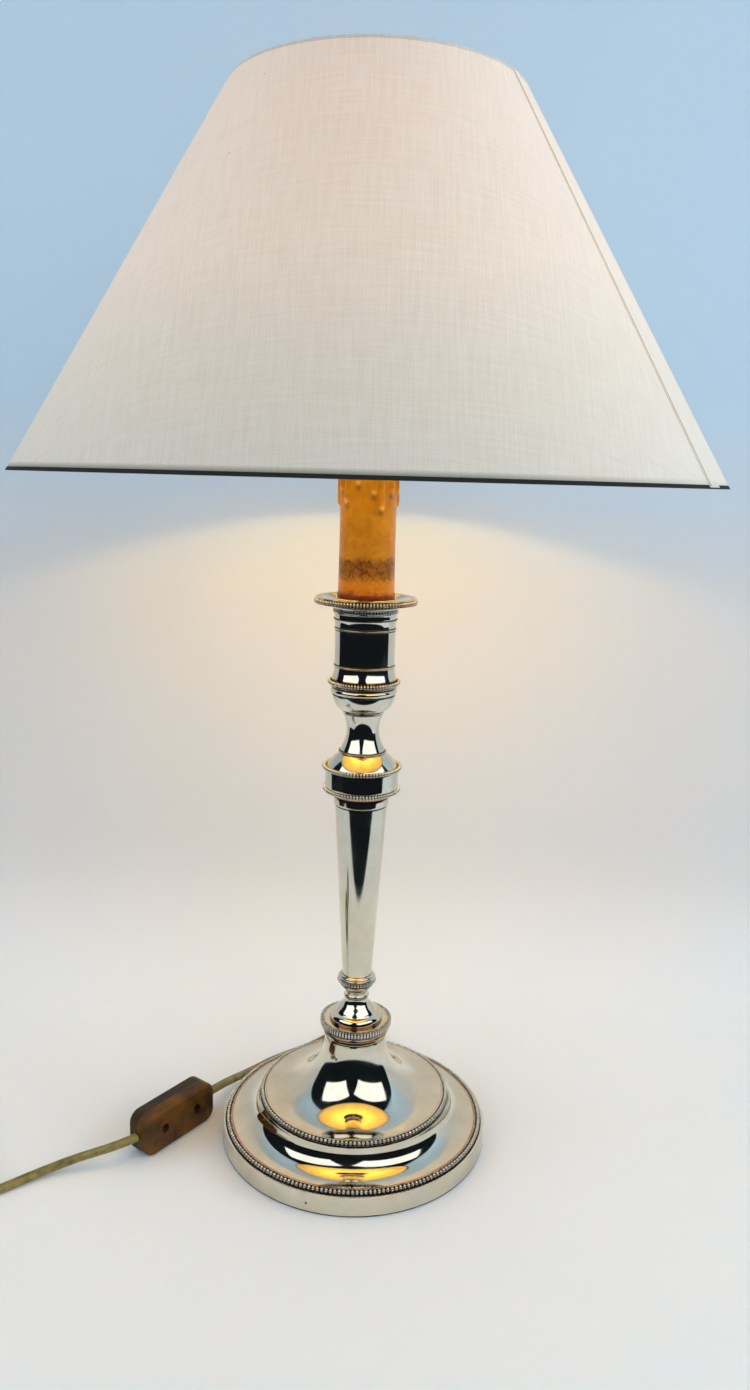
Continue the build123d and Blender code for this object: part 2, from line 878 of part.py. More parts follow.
def glass_outline():
    """Candle-shaped glass, drawn outside and in."""
    low, top, neck = bulb_cap_top + fit, bulb_cap_top + bulb_glass_height, cap_radius - 0.3
    middle = low + 0.36 * bulb_glass_height
    foot_line = Line((neck - glass_wall, low), (neck, low))
    swell = Bezier(foot_line @ 1, (neck + 0.4, low + 12), (bulb_radius, middle - 14), (bulb_radius, middle))
    tip = Bezier(swell @ 1, (bulb_radius, middle + 18), (3.4, top - 11), (0, top))
    thin = bulb_radius - glass_wall
    drop = Line(tip @ 1, (0, top - 2.2 * glass_wall))
    tip_in = Bezier(drop @ 1, (2.6, top - 13), (thin, middle + 18), (thin, middle))
    Bezier(tip_in @ 1, (thin, middle - 14), (neck - glass_wall + 0.2, low + 12), foot_line @ 0)


turned("bulb_glass", glass_outline)
stem_top = bulb_cap_top + stem_height
with BuildPart() as stem:
    with BuildSketch(Plane.XY.offset(bulb_cap_bottom + 1.0 + fit)):
        Circle(2.4)
    extrude(amount=stem_top - bulb_cap_bottom - 1.0 - fit)
    with BuildSketch(Plane.XY.offset(stem_top)):
        with PolarLocations(4.0, 4):
            Rectangle(1.6, 1.6)
        Circle(4.6)
    extrude(amount=2.0)
    with BuildSketch(Plane.XY.offset(stem_top + 2.0)):
        with PolarLocations(3.6, 4):
            Circle(filament_radius)
    extrude(amount=filament_height)
keep("bulb_filament", stem)

# ---------------------------------------------------------------- shade
cone_lean = (shade_bottom_radius - shade_top_radius) / shade_height
slant_factor = sqrt(1 + cone_lean ** 2)


def cone_radius(height):
    """Outer radius of the cover at a height over its bottom edge."""
    return shade_bottom_radius - cone_lean * height


def cone_band(label, low, high, inset, thickness):
    """A conical skin between two heights, inset from the cover's outside along the radius."""
    across = thickness * slant_factor
    deep = inset * slant_factor
    turned(
        label,
        lambda: Polyline(
            (cone_radius(low) - deep, shade_rise + low),
            (cone_radius(high) - deep, shade_rise + high),
            (cone_radius(high) - deep - across, shade_rise + high),
            (cone_radius(low) - deep - across, shade_rise + low),
            close=True,
        ),
    )


hem_rise = hem_width / slant_factor
cone_band("shade_cover", 0, shade_height, hem_thickness + fit, cover_thickness)
liner_inset = hem_thickness + 2 * fit + cover_thickness
cone_band("shade_liner", 0, shade_height, liner_inset, liner_thickness)
cone_band("shade_hem_bottom", 0, hem_rise, 0, hem_thickness)
cone_band("shade_hem_top", shade_height - hem_rise, shade_height, 0, hem_thickness)

wire = ring_wire / 2
wire_inset = (liner_inset + liner_thickness + fit + wire) * slant_factor
bottom_wire_radius = cone_radius(wire) - wire_inset
top_wire_radius = cone_radius(shade_height - wire) - wire_inset
wire_ring("shade_bottom_ring", bottom_wire_radius, shade_rise + wire, ring_wire)
wire_ring("shade_top_ring", top_wire_radius, shade_top - wire, ring_wire)

fitter_inner = skirt_radius + soft_gap
fitter_middle = (fitter_bottom + fitter_top) / 2
arm_start = top_wire_radius - wire - fit - arm_wire / 2
with BuildPart() as fitter:
    with BuildSketch(Plane.XY.offset(fitter_bottom)):
        Circle(arm_reach)
        Circle(fitter_inner, mode=Mode.SUBTRACT)
    extrude(amount=fitter_thickness)
    for arm in range(arm_count):
        bearing = 30 + arm * 360 / arm_count
        arm_plane = Plane(
            origin=(0, 0, 0), x_dir=(cos(radians(bearing)), sin(radians(bearing)), 0),
            z_dir=(sin(radians(bearing)), -cos(radians(bearing)), 0),
        )
        with BuildLine(arm_plane) as arm_path:
            FilletPolyline(
                (arm_reach - 2.5, fitter_middle),
                (arm_knee_radius, fitter_middle),
                (arm_start - 2.0, shade_top - 18.0),
                (arm_start, shade_top - ring_wire / 2),
                radius=8.0,
            )
        with BuildSketch(Plane(arm_path.line @ 0, z_dir=arm_path.line % 0)):
            Circle(arm_wire / 2)
        sweep(path=arm_path.line)
keep("shade_fitter", fitter)

# ---------------------------------------------------------------- cord
out_of_foot = Vector(cos(radians(exit_angle)), sin(radians(exit_angle)), 0)
bush_face = foot_radius + bush_reach


def spread_radii(points):
    """One bend radius for each inner point: 0.45 of its shorter run over the tangent of half its turn."""
    radii = []
    for before, here, after in zip(points, points[1:], points[2:]):
        run_in = Vector(*here) - Vector(*before)
        run_out = Vector(*after) - Vector(*here)
        half_turn = radians(run_in.get_angle(run_out)) / 2
        radii.append(0.45 * min(run_in.length, run_out.length) / tan(half_turn))
    return radii


def cord_tube(label, points):
    """A round cord along straight runs and tangent arcs; prints its bends, length and volume check."""
    radii = spread_radii(points)
    with BuildPart() as tube:
        with BuildLine():
            route = FilletPolyline(*points, radius=radii)
        with BuildSketch(Plane(route @ 0, z_dir=route % 0)):
            Circle(cord_radius)
        sweep(path=route)
    expected = pi * cord_radius ** 2 * route.length
    print(label, "radii", [round(r, 1) for r in radii], "length", round(route.length, 1))
    print(label, "volume over section times length", round(tube.part.volume / expected, 4))
    keep(label, tube)


bush_plane = Plane(origin=(0, 0, exit_height), x_dir=(0, 0, 1), z_dir=out_of_foot)
with BuildPart() as bush:
    with BuildSketch(bush_plane.offset(foot_radius - 4.0)):
        Circle(bush_hole - fit)
    extrude(amount=4.0 + fit)
    with BuildSketch(bush_plane.offset(foot_radius + fit)):
        Circle(bush_radius)
    extrude(amount=bush_reach - fit)
    with BuildSketch(bush_plane.offset(foot_radius - 4.0)):
        Circle(cord_radius + fit)
    extrude(amount=bush_reach + 4.0, mode=Mode.SUBTRACT)
keep("cord_bush", bush)

flex_bend = 18.0
flex_top = insulator_top - 12.0 - fit
flex_plane = Plane(origin=(0, 0, 0), x_dir=out_of_foot, z_dir=out_of_foot.cross(Vector(0, 0, 1)))
with BuildPart() as inner_flex:
    with BuildLine(flex_plane) as flex_path:
        FilletPolyline((bush_face, exit_height), (0, exit_height), (0, flex_top), radius=flex_bend)
    with BuildSketch(Plane(flex_path.line @ 0, z_dir=flex_path.line % 0)):
        Circle(cord_radius)
    sweep(path=flex_path.line)
keep("inner_flex", inner_flex)

switch_axis = Vector(cos(radians(switch_bearing)), sin(radians(switch_bearing)), 0)
cord_start = out_of_foot * (bush_face + fit)
to_switch = [
    (cord_start.X, cord_start.Y, exit_height),
    (18.5, 87.1, exit_height),
    (13.8, 98.7, 4.6),
    (3.2, 105.3, 2.9),
    (-9.3, 104.4, cord_level),
    (-19.0, 95.7, cord_level),
    (-28.4, 85.3, cord_level),
    (-40.0, 76.5, cord_level),
    (-50.5, 69.0, cord_level),
    (-59.5, 59.5, cord_level + 0.1),
    (-67.6, 48.2, 4.4),
    (-75.6, 33.7, 8.4),
    (-82.6, 19.4, 12.0),
    (-87.85, 12.35, 12.0),
]
cord_tube("cord_lamp", to_switch)

coil_axis = radians(coil_heading)
along = Vector(cos(coil_axis), sin(coil_axis), 0)
outward = Vector(-sin(coil_axis), cos(coil_axis), 0)
coil_center = Vector(coil_middle[0], coil_middle[1], 0)
coil_pitch = cord_diameter + coil_gap
top_level = cord_level + coil_pitch


def coil_point(across, forward, height):
    """A point beside the coil's middle: across to where the cord comes in, forward as it runs there."""
    return coil_center + outward * across + along * forward + Vector(0, 0, height)


coil_entry = coil_point(coil_radius, -cord_diameter, cord_level)
cord_meets_coil = coil_entry - along * 2 * fit
to_coil = [
    (-119.5, -29.7, 12.0),
    (-123.6, -33.3, 12.0),
    (-131.2, -37.0, 11.0),
    (-141.5, -39.2, 8.8),
    (-153.0, -41.5, 6.0),
    (-164.5, -46.6, 3.8),
    (-175.5, -54.0, 2.8),
    (-193.5, -68.6, cord_level),
    (cord_meets_coil.X, cord_meets_coil.Y, cord_level),
]
cord_tube("cord_switch", to_coil)

inward = [coil_radius - step * coil_pitch / 2 for step in range(2 * coil_turns + 1)]
turn_radii = inward + inward[-2:0:-1]
with BuildPart() as coil:
    with BuildLine() as coil_path:
        Line(coil_entry, coil_point(coil_radius, 0, cord_level))
        place, height = coil_radius, cord_level
        for step, turn_radius in enumerate(turn_radii):
            side_sign = 1 if step % 2 == 0 else -1
            end = place - 2 * side_sign * turn_radius
            if step == 2 * coil_turns:
                bulge = sqrt(turn_radius ** 2 + coil_pitch ** 2 / 4)
                middle = coil_point((place + end) / 2, side_sign * bulge, height + coil_pitch / 2)
                rise = TangentArc(coil_point(place, 0, height), middle, tangent=along * side_sign)
                TangentArc(middle, coil_point(end, 0, top_level), tangent=rise % 1)
                height = top_level
            else:
                ThreePointArc(
                    coil_point(place, 0, height),
                    coil_point((place + end) / 2, side_sign * turn_radius, height),
                    coil_point(end, 0, height),
                )
            place = end
        plug_level = plug_depth / 2 + cord_floor
        slope_end = plug_lead - cord_diameter
        slope_middle = coil_point(coil_radius, slope_end / 2, (top_level + plug_level) / 2)
        fall = TangentArc(coil_point(coil_radius, 0, top_level), slope_middle, tangent=along)
        TangentArc(slope_middle, coil_point(coil_radius, slope_end, plug_level), tangent=fall % 1)
        Line(
            coil_point(coil_radius, slope_end, plug_level), coil_point(coil_radius, plug_lead, plug_level),
        )
    coil_line = coil_path.wire()
    with BuildSketch(Plane(coil_line @ 0, z_dir=coil_line % 0)):
        Circle(cord_radius)
    sweep(path=coil_line)
keep("cord_coil", coil)


def least_gap(line, spacing):
    """Least gap of a tube to itself, from points along its centre line."""
    count = int(line.length / spacing)
    points = [line @ (index / count) for index in range(count + 1)]
    skip = int(3 * cord_diameter / spacing)
    nearest = min(
        (points[first] - points[second]).length
        for first in range(count + 1) for second in range(first + skip, count + 1)
    )
    return nearest - cord_diameter


coil_volume = pi * cord_radius ** 2 * coil_line.length
print("coil length", round(coil_line.length, 1), "least gap", round(least_gap(coil_line, 1.5), 2))
print("coil volume over section times length", round(coil.part.volume / coil_volume, 4))

# ---------------------------------------------------------------- plug
plug_plane = Plane(origin=coil_point(coil_radius, plug_lead + fit, cord_floor), x_dir=along, z_dir=(0, 0, 1))
with BuildPart() as plug:
    with BuildSketch(plug_plane):
        with BuildLine():
            Polyline(
                (0, plug_tail / 2), (4.0, plug_tail / 2), (13.0, plug_width / 2), (plug_length, plug_width / 2),
                (plug_length, -plug_width / 2), (13.0, -plug_width / 2), (4.0, -plug_tail / 2),
                (0, -plug_tail / 2), close=True,
            )
        make_face()
    extrude(amount=plug_depth)
    fillet(plug.edges().filter_by(Axis.Z), 1.6)
    chamfer(plug.faces().filter_by(Axis.Z).edges(), 1.2)
keep("plug_body", plug)
pin_plane = Plane(
    origin=coil_point(coil_radius, plug_lead + plug_length + 2 * fit, plug_level), x_dir=outward, z_dir=along,
)
with BuildPart() as pins:
    with BuildSketch(pin_plane):
        with Locations((pin_spacing / 2, 0), (-pin_spacing / 2, 0)):
            Circle(pin_radius)
    extrude(amount=pin_length)
keep("plug_pins", pins)

# ---------------------------------------------------------------- switch
switch_level = switch_width / 2 + cord_floor
screw_face = Vector(switch_axis.Y, -switch_axis.X, 0)
switch_plane = Plane(
    origin=(switch_middle[0], switch_middle[1], switch_level), x_dir=switch_axis, z_dir=screw_face,
)
half_depth = switch_depth / 2
screw_places = [(screw_spacing / 2, screw_offset), (-screw_spacing / 2, screw_offset)]
cavity_depth = half_depth - switch_wall
counterbore = 4.4


def switch_shell(direction):
    """One moulded half of the switch, hollow, with its two screw bosses."""
    with BuildPart() as shell:
        with BuildSketch(switch_plane.offset(direction * fit / 2)):
            RectangleRounded(switch_length, switch_width, switch_corner)
        extrude(amount=direction * (half_depth - fit / 2))
        outer_face = shell.faces().sort_by(Axis((0, 0, 0), tuple(screw_face * direction)))[-1]
        fillet(outer_face.edges(), switch_edge)
        with BuildSketch(switch_plane):
            RectangleRounded(
                switch_length - 2 * switch_wall, switch_width - 2 * switch_wall, switch_corner - switch_wall,
            )
        extrude(amount=direction * cavity_depth, mode=Mode.SUBTRACT)
        with BuildSketch(switch_plane.offset(direction * fit / 2)):
            with Locations(*screw_places):
                Circle(boss_radius)
                Circle(screw_shank + fit, mode=Mode.SUBTRACT)
        extrude(amount=direction * cavity_depth)
    return shell.part


front_shell = switch_shell(1)
back_shell = switch_shell(-1)
with BuildPart() as switch_front:
    add(front_shell)
    with BuildSketch(switch_plane.offset(half_depth - counterbore)):
        with Locations(*screw_places):
            Circle(screw_head + 0.15)
    extrude(amount=counterbore, mode=Mode.SUBTRACT)
    with BuildSketch(switch_plane):
        with Locations(*screw_places):
            Circle(screw_shank + fit)
    extrude(amount=half_depth, mode=Mode.SUBTRACT)
keep("switch_front", switch_front)

with BuildPart() as switch_screws:
    with BuildSketch(switch_plane.offset(half_depth - counterbore + fit)):
        with Locations(*screw_places):
            Circle(screw_head)
            Rectangle(2 * screw_head, 0.8, mode=Mode.SUBTRACT)
    extrude(amount=1.4)
    with BuildSketch(switch_plane.offset(half_depth - counterbore + fit)):
        with Locations(*screw_places):
            Circle(screw_head)
    extrude(amount=0.8)
    with BuildSketch(switch_plane.offset(half_depth - counterbore + fit)):
        with Locations(*screw_places):
            Circle(screw_shank)
    extrude(amount=-(half_depth - counterbore + cavity_depth - 1.0))
keep("switch_screws", switch_screws)

pivot_depth = half_depth - rocker_pivot
bearing_gap = rocker_width / 2 + soft_gap
with BuildPart() as switch_back:
    add(back_shell)
    with BuildSketch(switch_plane):
        Rectangle(rocker_slot, 2 * bearing_gap)
    extrude(amount=-half_depth, mode=Mode.SUBTRACT)
    with BuildSketch(switch_plane.offset(-pivot_depth + 1.6)):
        with Locations((0, bearing_gap + 1.0), (0, -bearing_gap - 1.0)):
            Rectangle(5.0, 2.0)
    extrude(amount=-(cavity_depth - pivot_depth + 1.6 + fit))
    bearing_plane = Plane(origin=switch_plane.from_local_coords((0, 0, -pivot_depth)), z_dir=(0, 0, 1))
    with BuildSketch(bearing_plane.offset(-bearing_gap - 3.0)):
        Circle(rocker_pin + fit)
    extrude(amount=2 * bearing_gap + 6.0, mode=Mode.SUBTRACT)
keep("switch_back", switch_back)

rocker_plane = Plane(
    origin=switch_plane.from_local_coords((0, 0, -pivot_depth)), x_dir=switch_axis, z_dir=(0, 0, 1),
).rotated((0, 0, rocker_tilt))
rocker_top = rocker_pivot + rocker_proud
with BuildPart() as rocker:
    with BuildSketch(rocker_plane.offset(-rocker_width / 2)):
        with BuildLine():
            Polyline(
                (-rocker_length / 2, rocker_top - 2.3),
                (-rocker_length / 2, rocker_top),
                (0, rocker_top - 1.0),
                (rocker_length / 2, rocker_top),
                (rocker_length / 2, rocker_top - 2.3),
                (2.2, -1.4),
                (-2.2, -1.4),
                close=True,
            )
        make_face()
    extrude(amount=rocker_width)
    with BuildSketch(rocker_plane.offset(-rocker_width / 2 - 1.9)):
        Circle(rocker_pin)
    extrude(amount=rocker_width + 3.8)
keep("switch_rocker", rocker)

terminal_size = (5.0, 8.0, 3.6)
with BuildPart() as switch_terminals:
    with BuildSketch(switch_plane.offset(cavity_depth - fit)):
        with Locations((19.0, 0), (-19.0, 0)):
            Rectangle(terminal_size[0], terminal_size[1])
    extrude(amount=-terminal_size[2])
keep("switch_terminals", switch_terminals)

# ---------------------------------------------------------------- export
os.makedirs("parts", exist_ok=True)
for label, piece in pieces.items():
    export_step(piece, f"parts/{label}.step")
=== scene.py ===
"""Candlestick lamp: the photographed look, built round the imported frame.

A turned and beaded silver-plated candlestick carries a resin candle sleeve, a small
lampholder with a lit bulb and a cone shade of fine cloth. A flat twin flex leaves the back
of the foot, runs to an inline switch and ends in a put-away coil with its plug.
Lengths are in millimetres in the fields and in metres in the meshes.
"""

import logging
import math
from collections.abc import Callable, Iterator
from contextlib import contextmanager
from dataclasses import dataclass
from enum import Enum

import bpy
from mathutils import Matrix, Vector


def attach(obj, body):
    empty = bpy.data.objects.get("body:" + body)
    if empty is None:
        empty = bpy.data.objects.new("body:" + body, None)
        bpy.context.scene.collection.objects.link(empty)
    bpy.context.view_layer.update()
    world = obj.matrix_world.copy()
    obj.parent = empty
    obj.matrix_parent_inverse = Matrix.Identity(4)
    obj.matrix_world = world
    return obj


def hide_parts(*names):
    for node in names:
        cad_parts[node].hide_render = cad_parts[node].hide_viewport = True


log = logging.getLogger("candlestick_lamp")
MM = 0.001
TURN = 2.0 * math.pi
Point = tuple[float, float]
Place = tuple[float, float, float]
Socket = bpy.types.NodeSocket
Material = bpy.types.Material
Piece = bpy.types.Object


class Body(Enum):
    """The bodies of the frame that a piece can ride on."""

    LAMP = "lamp"
    SHADE = "shade"
    ROCKER = "rocker"


# ------------------------------------------------------------------ colours and nodes


def linear(hex_colour: str) -> tuple[float, float, float, float]:
    """Turn an sRGB hex colour, such as "E2DBC8", into linear RGBA."""
    channels = []
    for start in (0, 2, 4):
        value = int(hex_colour[start:start + 2], 16) / 255.0
        channels.append(value / 12.92 if value <= 0.04045 else ((value + 0.055) / 1.055) ** 2.4)
    return (channels[0], channels[1], channels[2], 1.0)


class Shader:
    """The node tree of a material or a world, filled from its textures to its surface.

    Each method adds what its name says and returns the socket that later nodes take. A
    colour is a hex string, linear RGBA or a socket, and a size is in millimetres.
    """

    def __init__(self, owner: Material | bpy.types.World) -> None:
        """Empty the owner's tree."""
        owner.use_nodes = True
        self.owner = owner
        self.tree = owner.node_tree
        self.tree.nodes.clear()

    def add(
        self, kind: str, inputs: dict | None = None, out: int | str = 0, **settings: object,
    ) -> Socket | None:
        """Add one node with its settings, its values and its links.

        Args:
            kind: the node's class name without ShaderNode.
            inputs: socket name or number to a value, or to the socket that feeds it.
            out: name or number of the output that is wanted.
            **settings: attributes of the node.

        Returns:
            The output, or None where the node has none.
        """
        made = self.tree.nodes.new("ShaderNode" + kind)
        for key, value in settings.items():
            setattr(made, key, value)
        for key, value in (inputs or {}).items():
            if isinstance(value, Socket):
                self.tree.links.new(value, made.inputs[key])
            else:
                made.inputs[key].default_value = linear(value) if isinstance(value, str) else value
        return made.outputs[out] if made.outputs else None

    def place(self, axis: str = "") -> Socket:
        """Give the point's place on its object, or one axis of it."""
        place = self.add("TexCoord", out="Object")
        return self.add("SeparateXYZ", {"Vector": place}, axis) if axis else place

    def attribute(self, name: str) -> Socket:
        """Give a point attribute of the piece."""
        return self.add("Attribute", out="Fac", attribute_name=name)

    def noise(
        self, vector: Socket, size: float, detail: float = 2.0, rough: float = 0.5,
        distortion: float = 0.0,
    ) -> Socket:
        """Add noise whose features have a size."""
        return self.add("TexNoise", {
            "Vector": vector, "Scale": 1.0 / (size * MM), "Detail": detail, "Roughness": rough,
            "Distortion": distortion,
        })

    def drawn_noise(
        self, vector: Socket, scale: Place, detail: float, rough: float = 0.5,
    ) -> Socket:
        """Add noise that is drawn out, with a scale along each axis."""
        mapped = self.add("Mapping", {"Vector": vector, "Scale": scale})
        return self.noise(mapped, 1.0 / MM, detail, rough)

    def ramp(self, value: Socket, *stops: tuple[float, str]) -> Socket:
        """Colour a value by stops, each with its position and its colour."""
        colour = self.add("ValToRGB", {"Fac": value})
        ramp = colour.node.color_ramp
        while len(ramp.elements) < len(stops):
            ramp.elements.new(0.5)
        for element, (position, hex_colour) in zip(ramp.elements, stops):
            element.position = position
            element.color = linear(hex_colour)
        return colour

    def ranged(
        self, value: Socket, low: float, high: float, start: float = 0.0, end: float = 1.0,
        **settings: object,
    ) -> Socket:
        """Map a value from low to high onto start to end, and hold it there."""
        return self.add("MapRange", {
            "Value": value, "From Min": low, "From Max": high, "To Min": start, "To Max": end,
        }, **settings)

    def worked(self, operation: str, *values: float | Socket) -> Socket:
        """Work a number out from others."""
        return self.add("Math", dict(enumerate(values)), operation=operation)

    def mix(
        self, share: float | Socket, first: object, second: object, **settings: object,
    ) -> Socket:
        """Mix two colours by the second one's share."""
        return self.add("Mix", {0: share, 6: first, 7: second}, 2, data_type="RGBA", **settings)

    def bump(self, height: Socket, distance: float, strength: float) -> Socket:
        """Turn a height into a bumped normal."""
        return self.add("Bump", {
            "Height": height, "Distance": distance * MM, "Strength": strength,
        })

    def close(self, shader: Socket) -> Material:
        """Link a shader to the material's output and return the material."""
        self.add("OutputMaterial", {"Surface": shader})
        return self.owner

    def surface(self, values: dict) -> Material:
        """Close the material with a principled surface and return it."""
        return self.close(self.add("BsdfPrincipled", values))


# ------------------------------------------------------------------ finishes


@dataclass(frozen=True)
class PlainFinish:
    """A surface of one stuff whose colour, gloss and grain vary a little.

    Args:
        name: the finish's name.
        low: darker sRGB hex colour of the variation.
        high: lighter sRGB hex colour of the variation.
        rough: least and most roughness.
        grain: size of the grain in mm, which sets the bump.
        drift: size of the slow colour change in mm.
        relief: height of the grain in mm.
        metallic: 1 for a metal.
        coat: weight of a clear coat.
        sheen: weight of fibre sheen.
        ior: index of refraction of what isn't a metal.
    """

    name: str
    low: str
    high: str
    rough: tuple[float, float] = (0.35, 0.5)
    grain: float = 0.4
    drift: float = 9.0
    relief: float = 0.02
    metallic: float = 0.0
    coat: float = 0.0
    sheen: float = 0.0
    ior: float = 1.5

    def build(self) -> Material:
        """Make the material with its slow drift of colour and its fine grain."""
        tree = Shader(bpy.data.materials.new(self.name))
        place = tree.place()
        drift = tree.noise(place, self.drift, 4.0)
        values: dict = {
            "Base Color": tree.ramp(drift, (0.34, self.low), (0.68, self.high)),
            "Roughness": tree.ranged(drift, 0.3, 0.7, *self.rough),
            "Normal": tree.bump(tree.noise(place, self.grain), self.relief, 0.6),
            "Metallic": self.metallic,
        }
        if self.coat:
            values.update({"Coat Weight": self.coat, "Coat Roughness": 0.12})
        if self.sheen:
            values.update({"Sheen Weight": self.sheen, "Sheen Roughness": 0.5})
        if not self.metallic:
            values["IOR"] = self.ior
        return tree.surface(values)


@dataclass(frozen=True)
class SilverPlate:
    """Electroplated silver on copper, hand polished.

    A mirror with a warm cast. Rubbing haze and hair scratches show in its lights, brown
    sulphide stays in the creases that a cloth can't reach, and copper shows where the plate
    is rubbed through.

    Args:
        name: the finish's name.
        silver: colour of clean plate.
        sulphide: colour of the tarnish.
        copper: colour of the bared copper.
        polish: least and most roughness of clean plate.
        haze: size in mm of the rubbed patches.
        bared: how much copper shows everywhere, from 0 to 1.
        pit: where the one corroded pit sits, in mm, which is off the piece by default.
        pit_radius: its radius in mm.
    """

    name: str = "silver_plate_polished"
    silver: str = "DFDACA"
    sulphide: str = "2E2118"
    copper: str = "BE8B66"
    polish: tuple[float, float] = (0.045, 0.13)
    haze: float = 16.0
    bared: float = 0.0
    pit: Place = (0.0, 0.0, -100.0)
    pit_radius: float = 0.9

    def build(self) -> Material:
        """Make the material from the piece's tarnish and wear attributes."""
        tree = Shader(bpy.data.materials.new(self.name))
        place = tree.place()
        haze = tree.noise(place, self.haze, 5.0, 0.6)
        speck = tree.noise(place, 2.2, 4.0, 0.7)
        # hair scratches run round the piece, as it turned under the polishing cloth
        scratch = tree.drawn_noise(place, (120.0, 120.0, 2600.0), 3.0)
        creased = self._patchy(tree, tree.attribute("tarnish"), speck, 0.0)
        bare = self._patchy(tree, tree.attribute("wear"), haze, self.bared)
        away = tree.add("VectorMath", {0: place, 1: tuple(v * MM for v in self.pit)}, "Value",
                        operation="DISTANCE")
        pitted = tree.ranged(away, self.pit_radius * 0.4 * MM, self.pit_radius * MM, 1.0, 0.0)
        dark = tree.worked("MAXIMUM", creased, pitted)
        plate = tree.ramp(haze, (0.3, "D3CBB7"), (0.62, self.silver))
        clean = tree.ranged(haze, 0.35, 0.75, *self.polish)
        return tree.surface({
            "Base Color": tree.mix(dark, tree.mix(bare, plate, self.copper), self.sulphide),
            "Metallic": 1.0, "Roughness": tree.add("Mix", {0: dark, 2: clean, 3: 0.5}),
            "Normal": tree.bump(scratch, 0.0012, 0.35),
        })

    @staticmethod
    def _patchy(tree: Shader, mask: Socket, noise: Socket, offset: float) -> Socket:
        """Break a smooth mask up with noise, after an offset is added to it."""
        loud = tree.worked("MULTIPLY_ADD", noise, 1.3, offset - 0.62)
        both = tree.worked("MULTIPLY_ADD", mask, 1.5, loud)
        return tree.ranged(both, 0.25, 0.95, interpolation_type="SMOOTHSTEP")


@dataclass(frozen=True)
class CandleResin:
    """Cast amber resin with wax-like runs, glossy and a little translucent.

    Args:
        name: the finish's name.
        bottom: height of the sleeve's foot in mm.
        top: height of its rim in mm.
    """

    name: str = "candle_resin_cast"
    bottom: float = 310.5
    top: float = 399.1

    def build(self) -> Material:
        """Make the material: amber, with a brown crazed band near the foot."""
        tree = Shader(bpy.data.materials.new(self.name))
        place = tree.place()
        cloud = tree.noise(place, 7.0, 6.0, 0.65, 0.6)
        wavy = tree.worked("MULTIPLY_ADD", cloud, 0.006, -0.003)
        height = tree.worked("ADD", tree.place("Z"), wavy)
        along = tree.ranged(height, self.bottom * MM, self.top * MM)
        # glue line, a lighter band at the foot, brown crazed band, then amber that deepens upwards
        amber = tree.ramp(
            along, (0.0, "4A1A04"), (0.03, "7E3604"), (0.05, "C88206"), (0.1, "CA8A08"),
            (0.14, "9A660C"), (0.21, "8C5C0C"), (0.25, "B88204"), (0.5, "BE8600"),
            (0.75, "B07A00"), (1.0, "B48400"),
        )
        crooked = tree.add(
            "VectorMath",
            {0: cloud.node.outputs["Color"], 1: (0.012, 0.012, 0.012), 2: place},
            operation="MULTIPLY_ADD",
        )
        crack = tree.add(
            "TexVoronoi", {"Vector": crooked, "Scale": 1.0 / (4.2 * MM)}, "Distance",
            feature="DISTANCE_TO_EDGE",
        )
        band = tree.ramp(along, (0.08, "000000"), (0.13, "F0F0F0"), (0.22, "F0F0F0"),
                         (0.26, "000000"))
        crazed = tree.worked("MULTIPLY", tree.ranged(crack, 0.0, 0.09, 1.0, 0.0), band)
        veined = tree.mix(crazed, amber, "3A1A08")
        # painted shadow under each drop, then a painted highlight on its crown
        shaded = tree.mix(tree.attribute("painted_shadow_under_drop"), veined, "7A4404")
        drop_painted_highlight = tree.mix(tree.attribute("drop"), shaded, "F2BE4C")
        milk = tree.ramp(cloud, (0.35, "C8A464"), (0.65, "FFFFFF"))
        clouded = tree.mix(0.55, drop_painted_highlight, milk, blend_type="MULTIPLY")
        # the faint emission of the resin's own colour is a painted glow of warm light in it
        return tree.surface({
            "Base Color": clouded, "Roughness": 0.3, "IOR": 1.42, "Subsurface Weight": 0.12,
            "Subsurface Radius": (1.0, 0.5, 0.06), "Subsurface Scale": 0.003,
            "Coat Weight": 0.06, "Coat Roughness": 0.12, "Emission Color": clouded,
            "Emission Strength": 0.1, "Normal": tree.bump(cloud, 0.25, 0.35),
        })


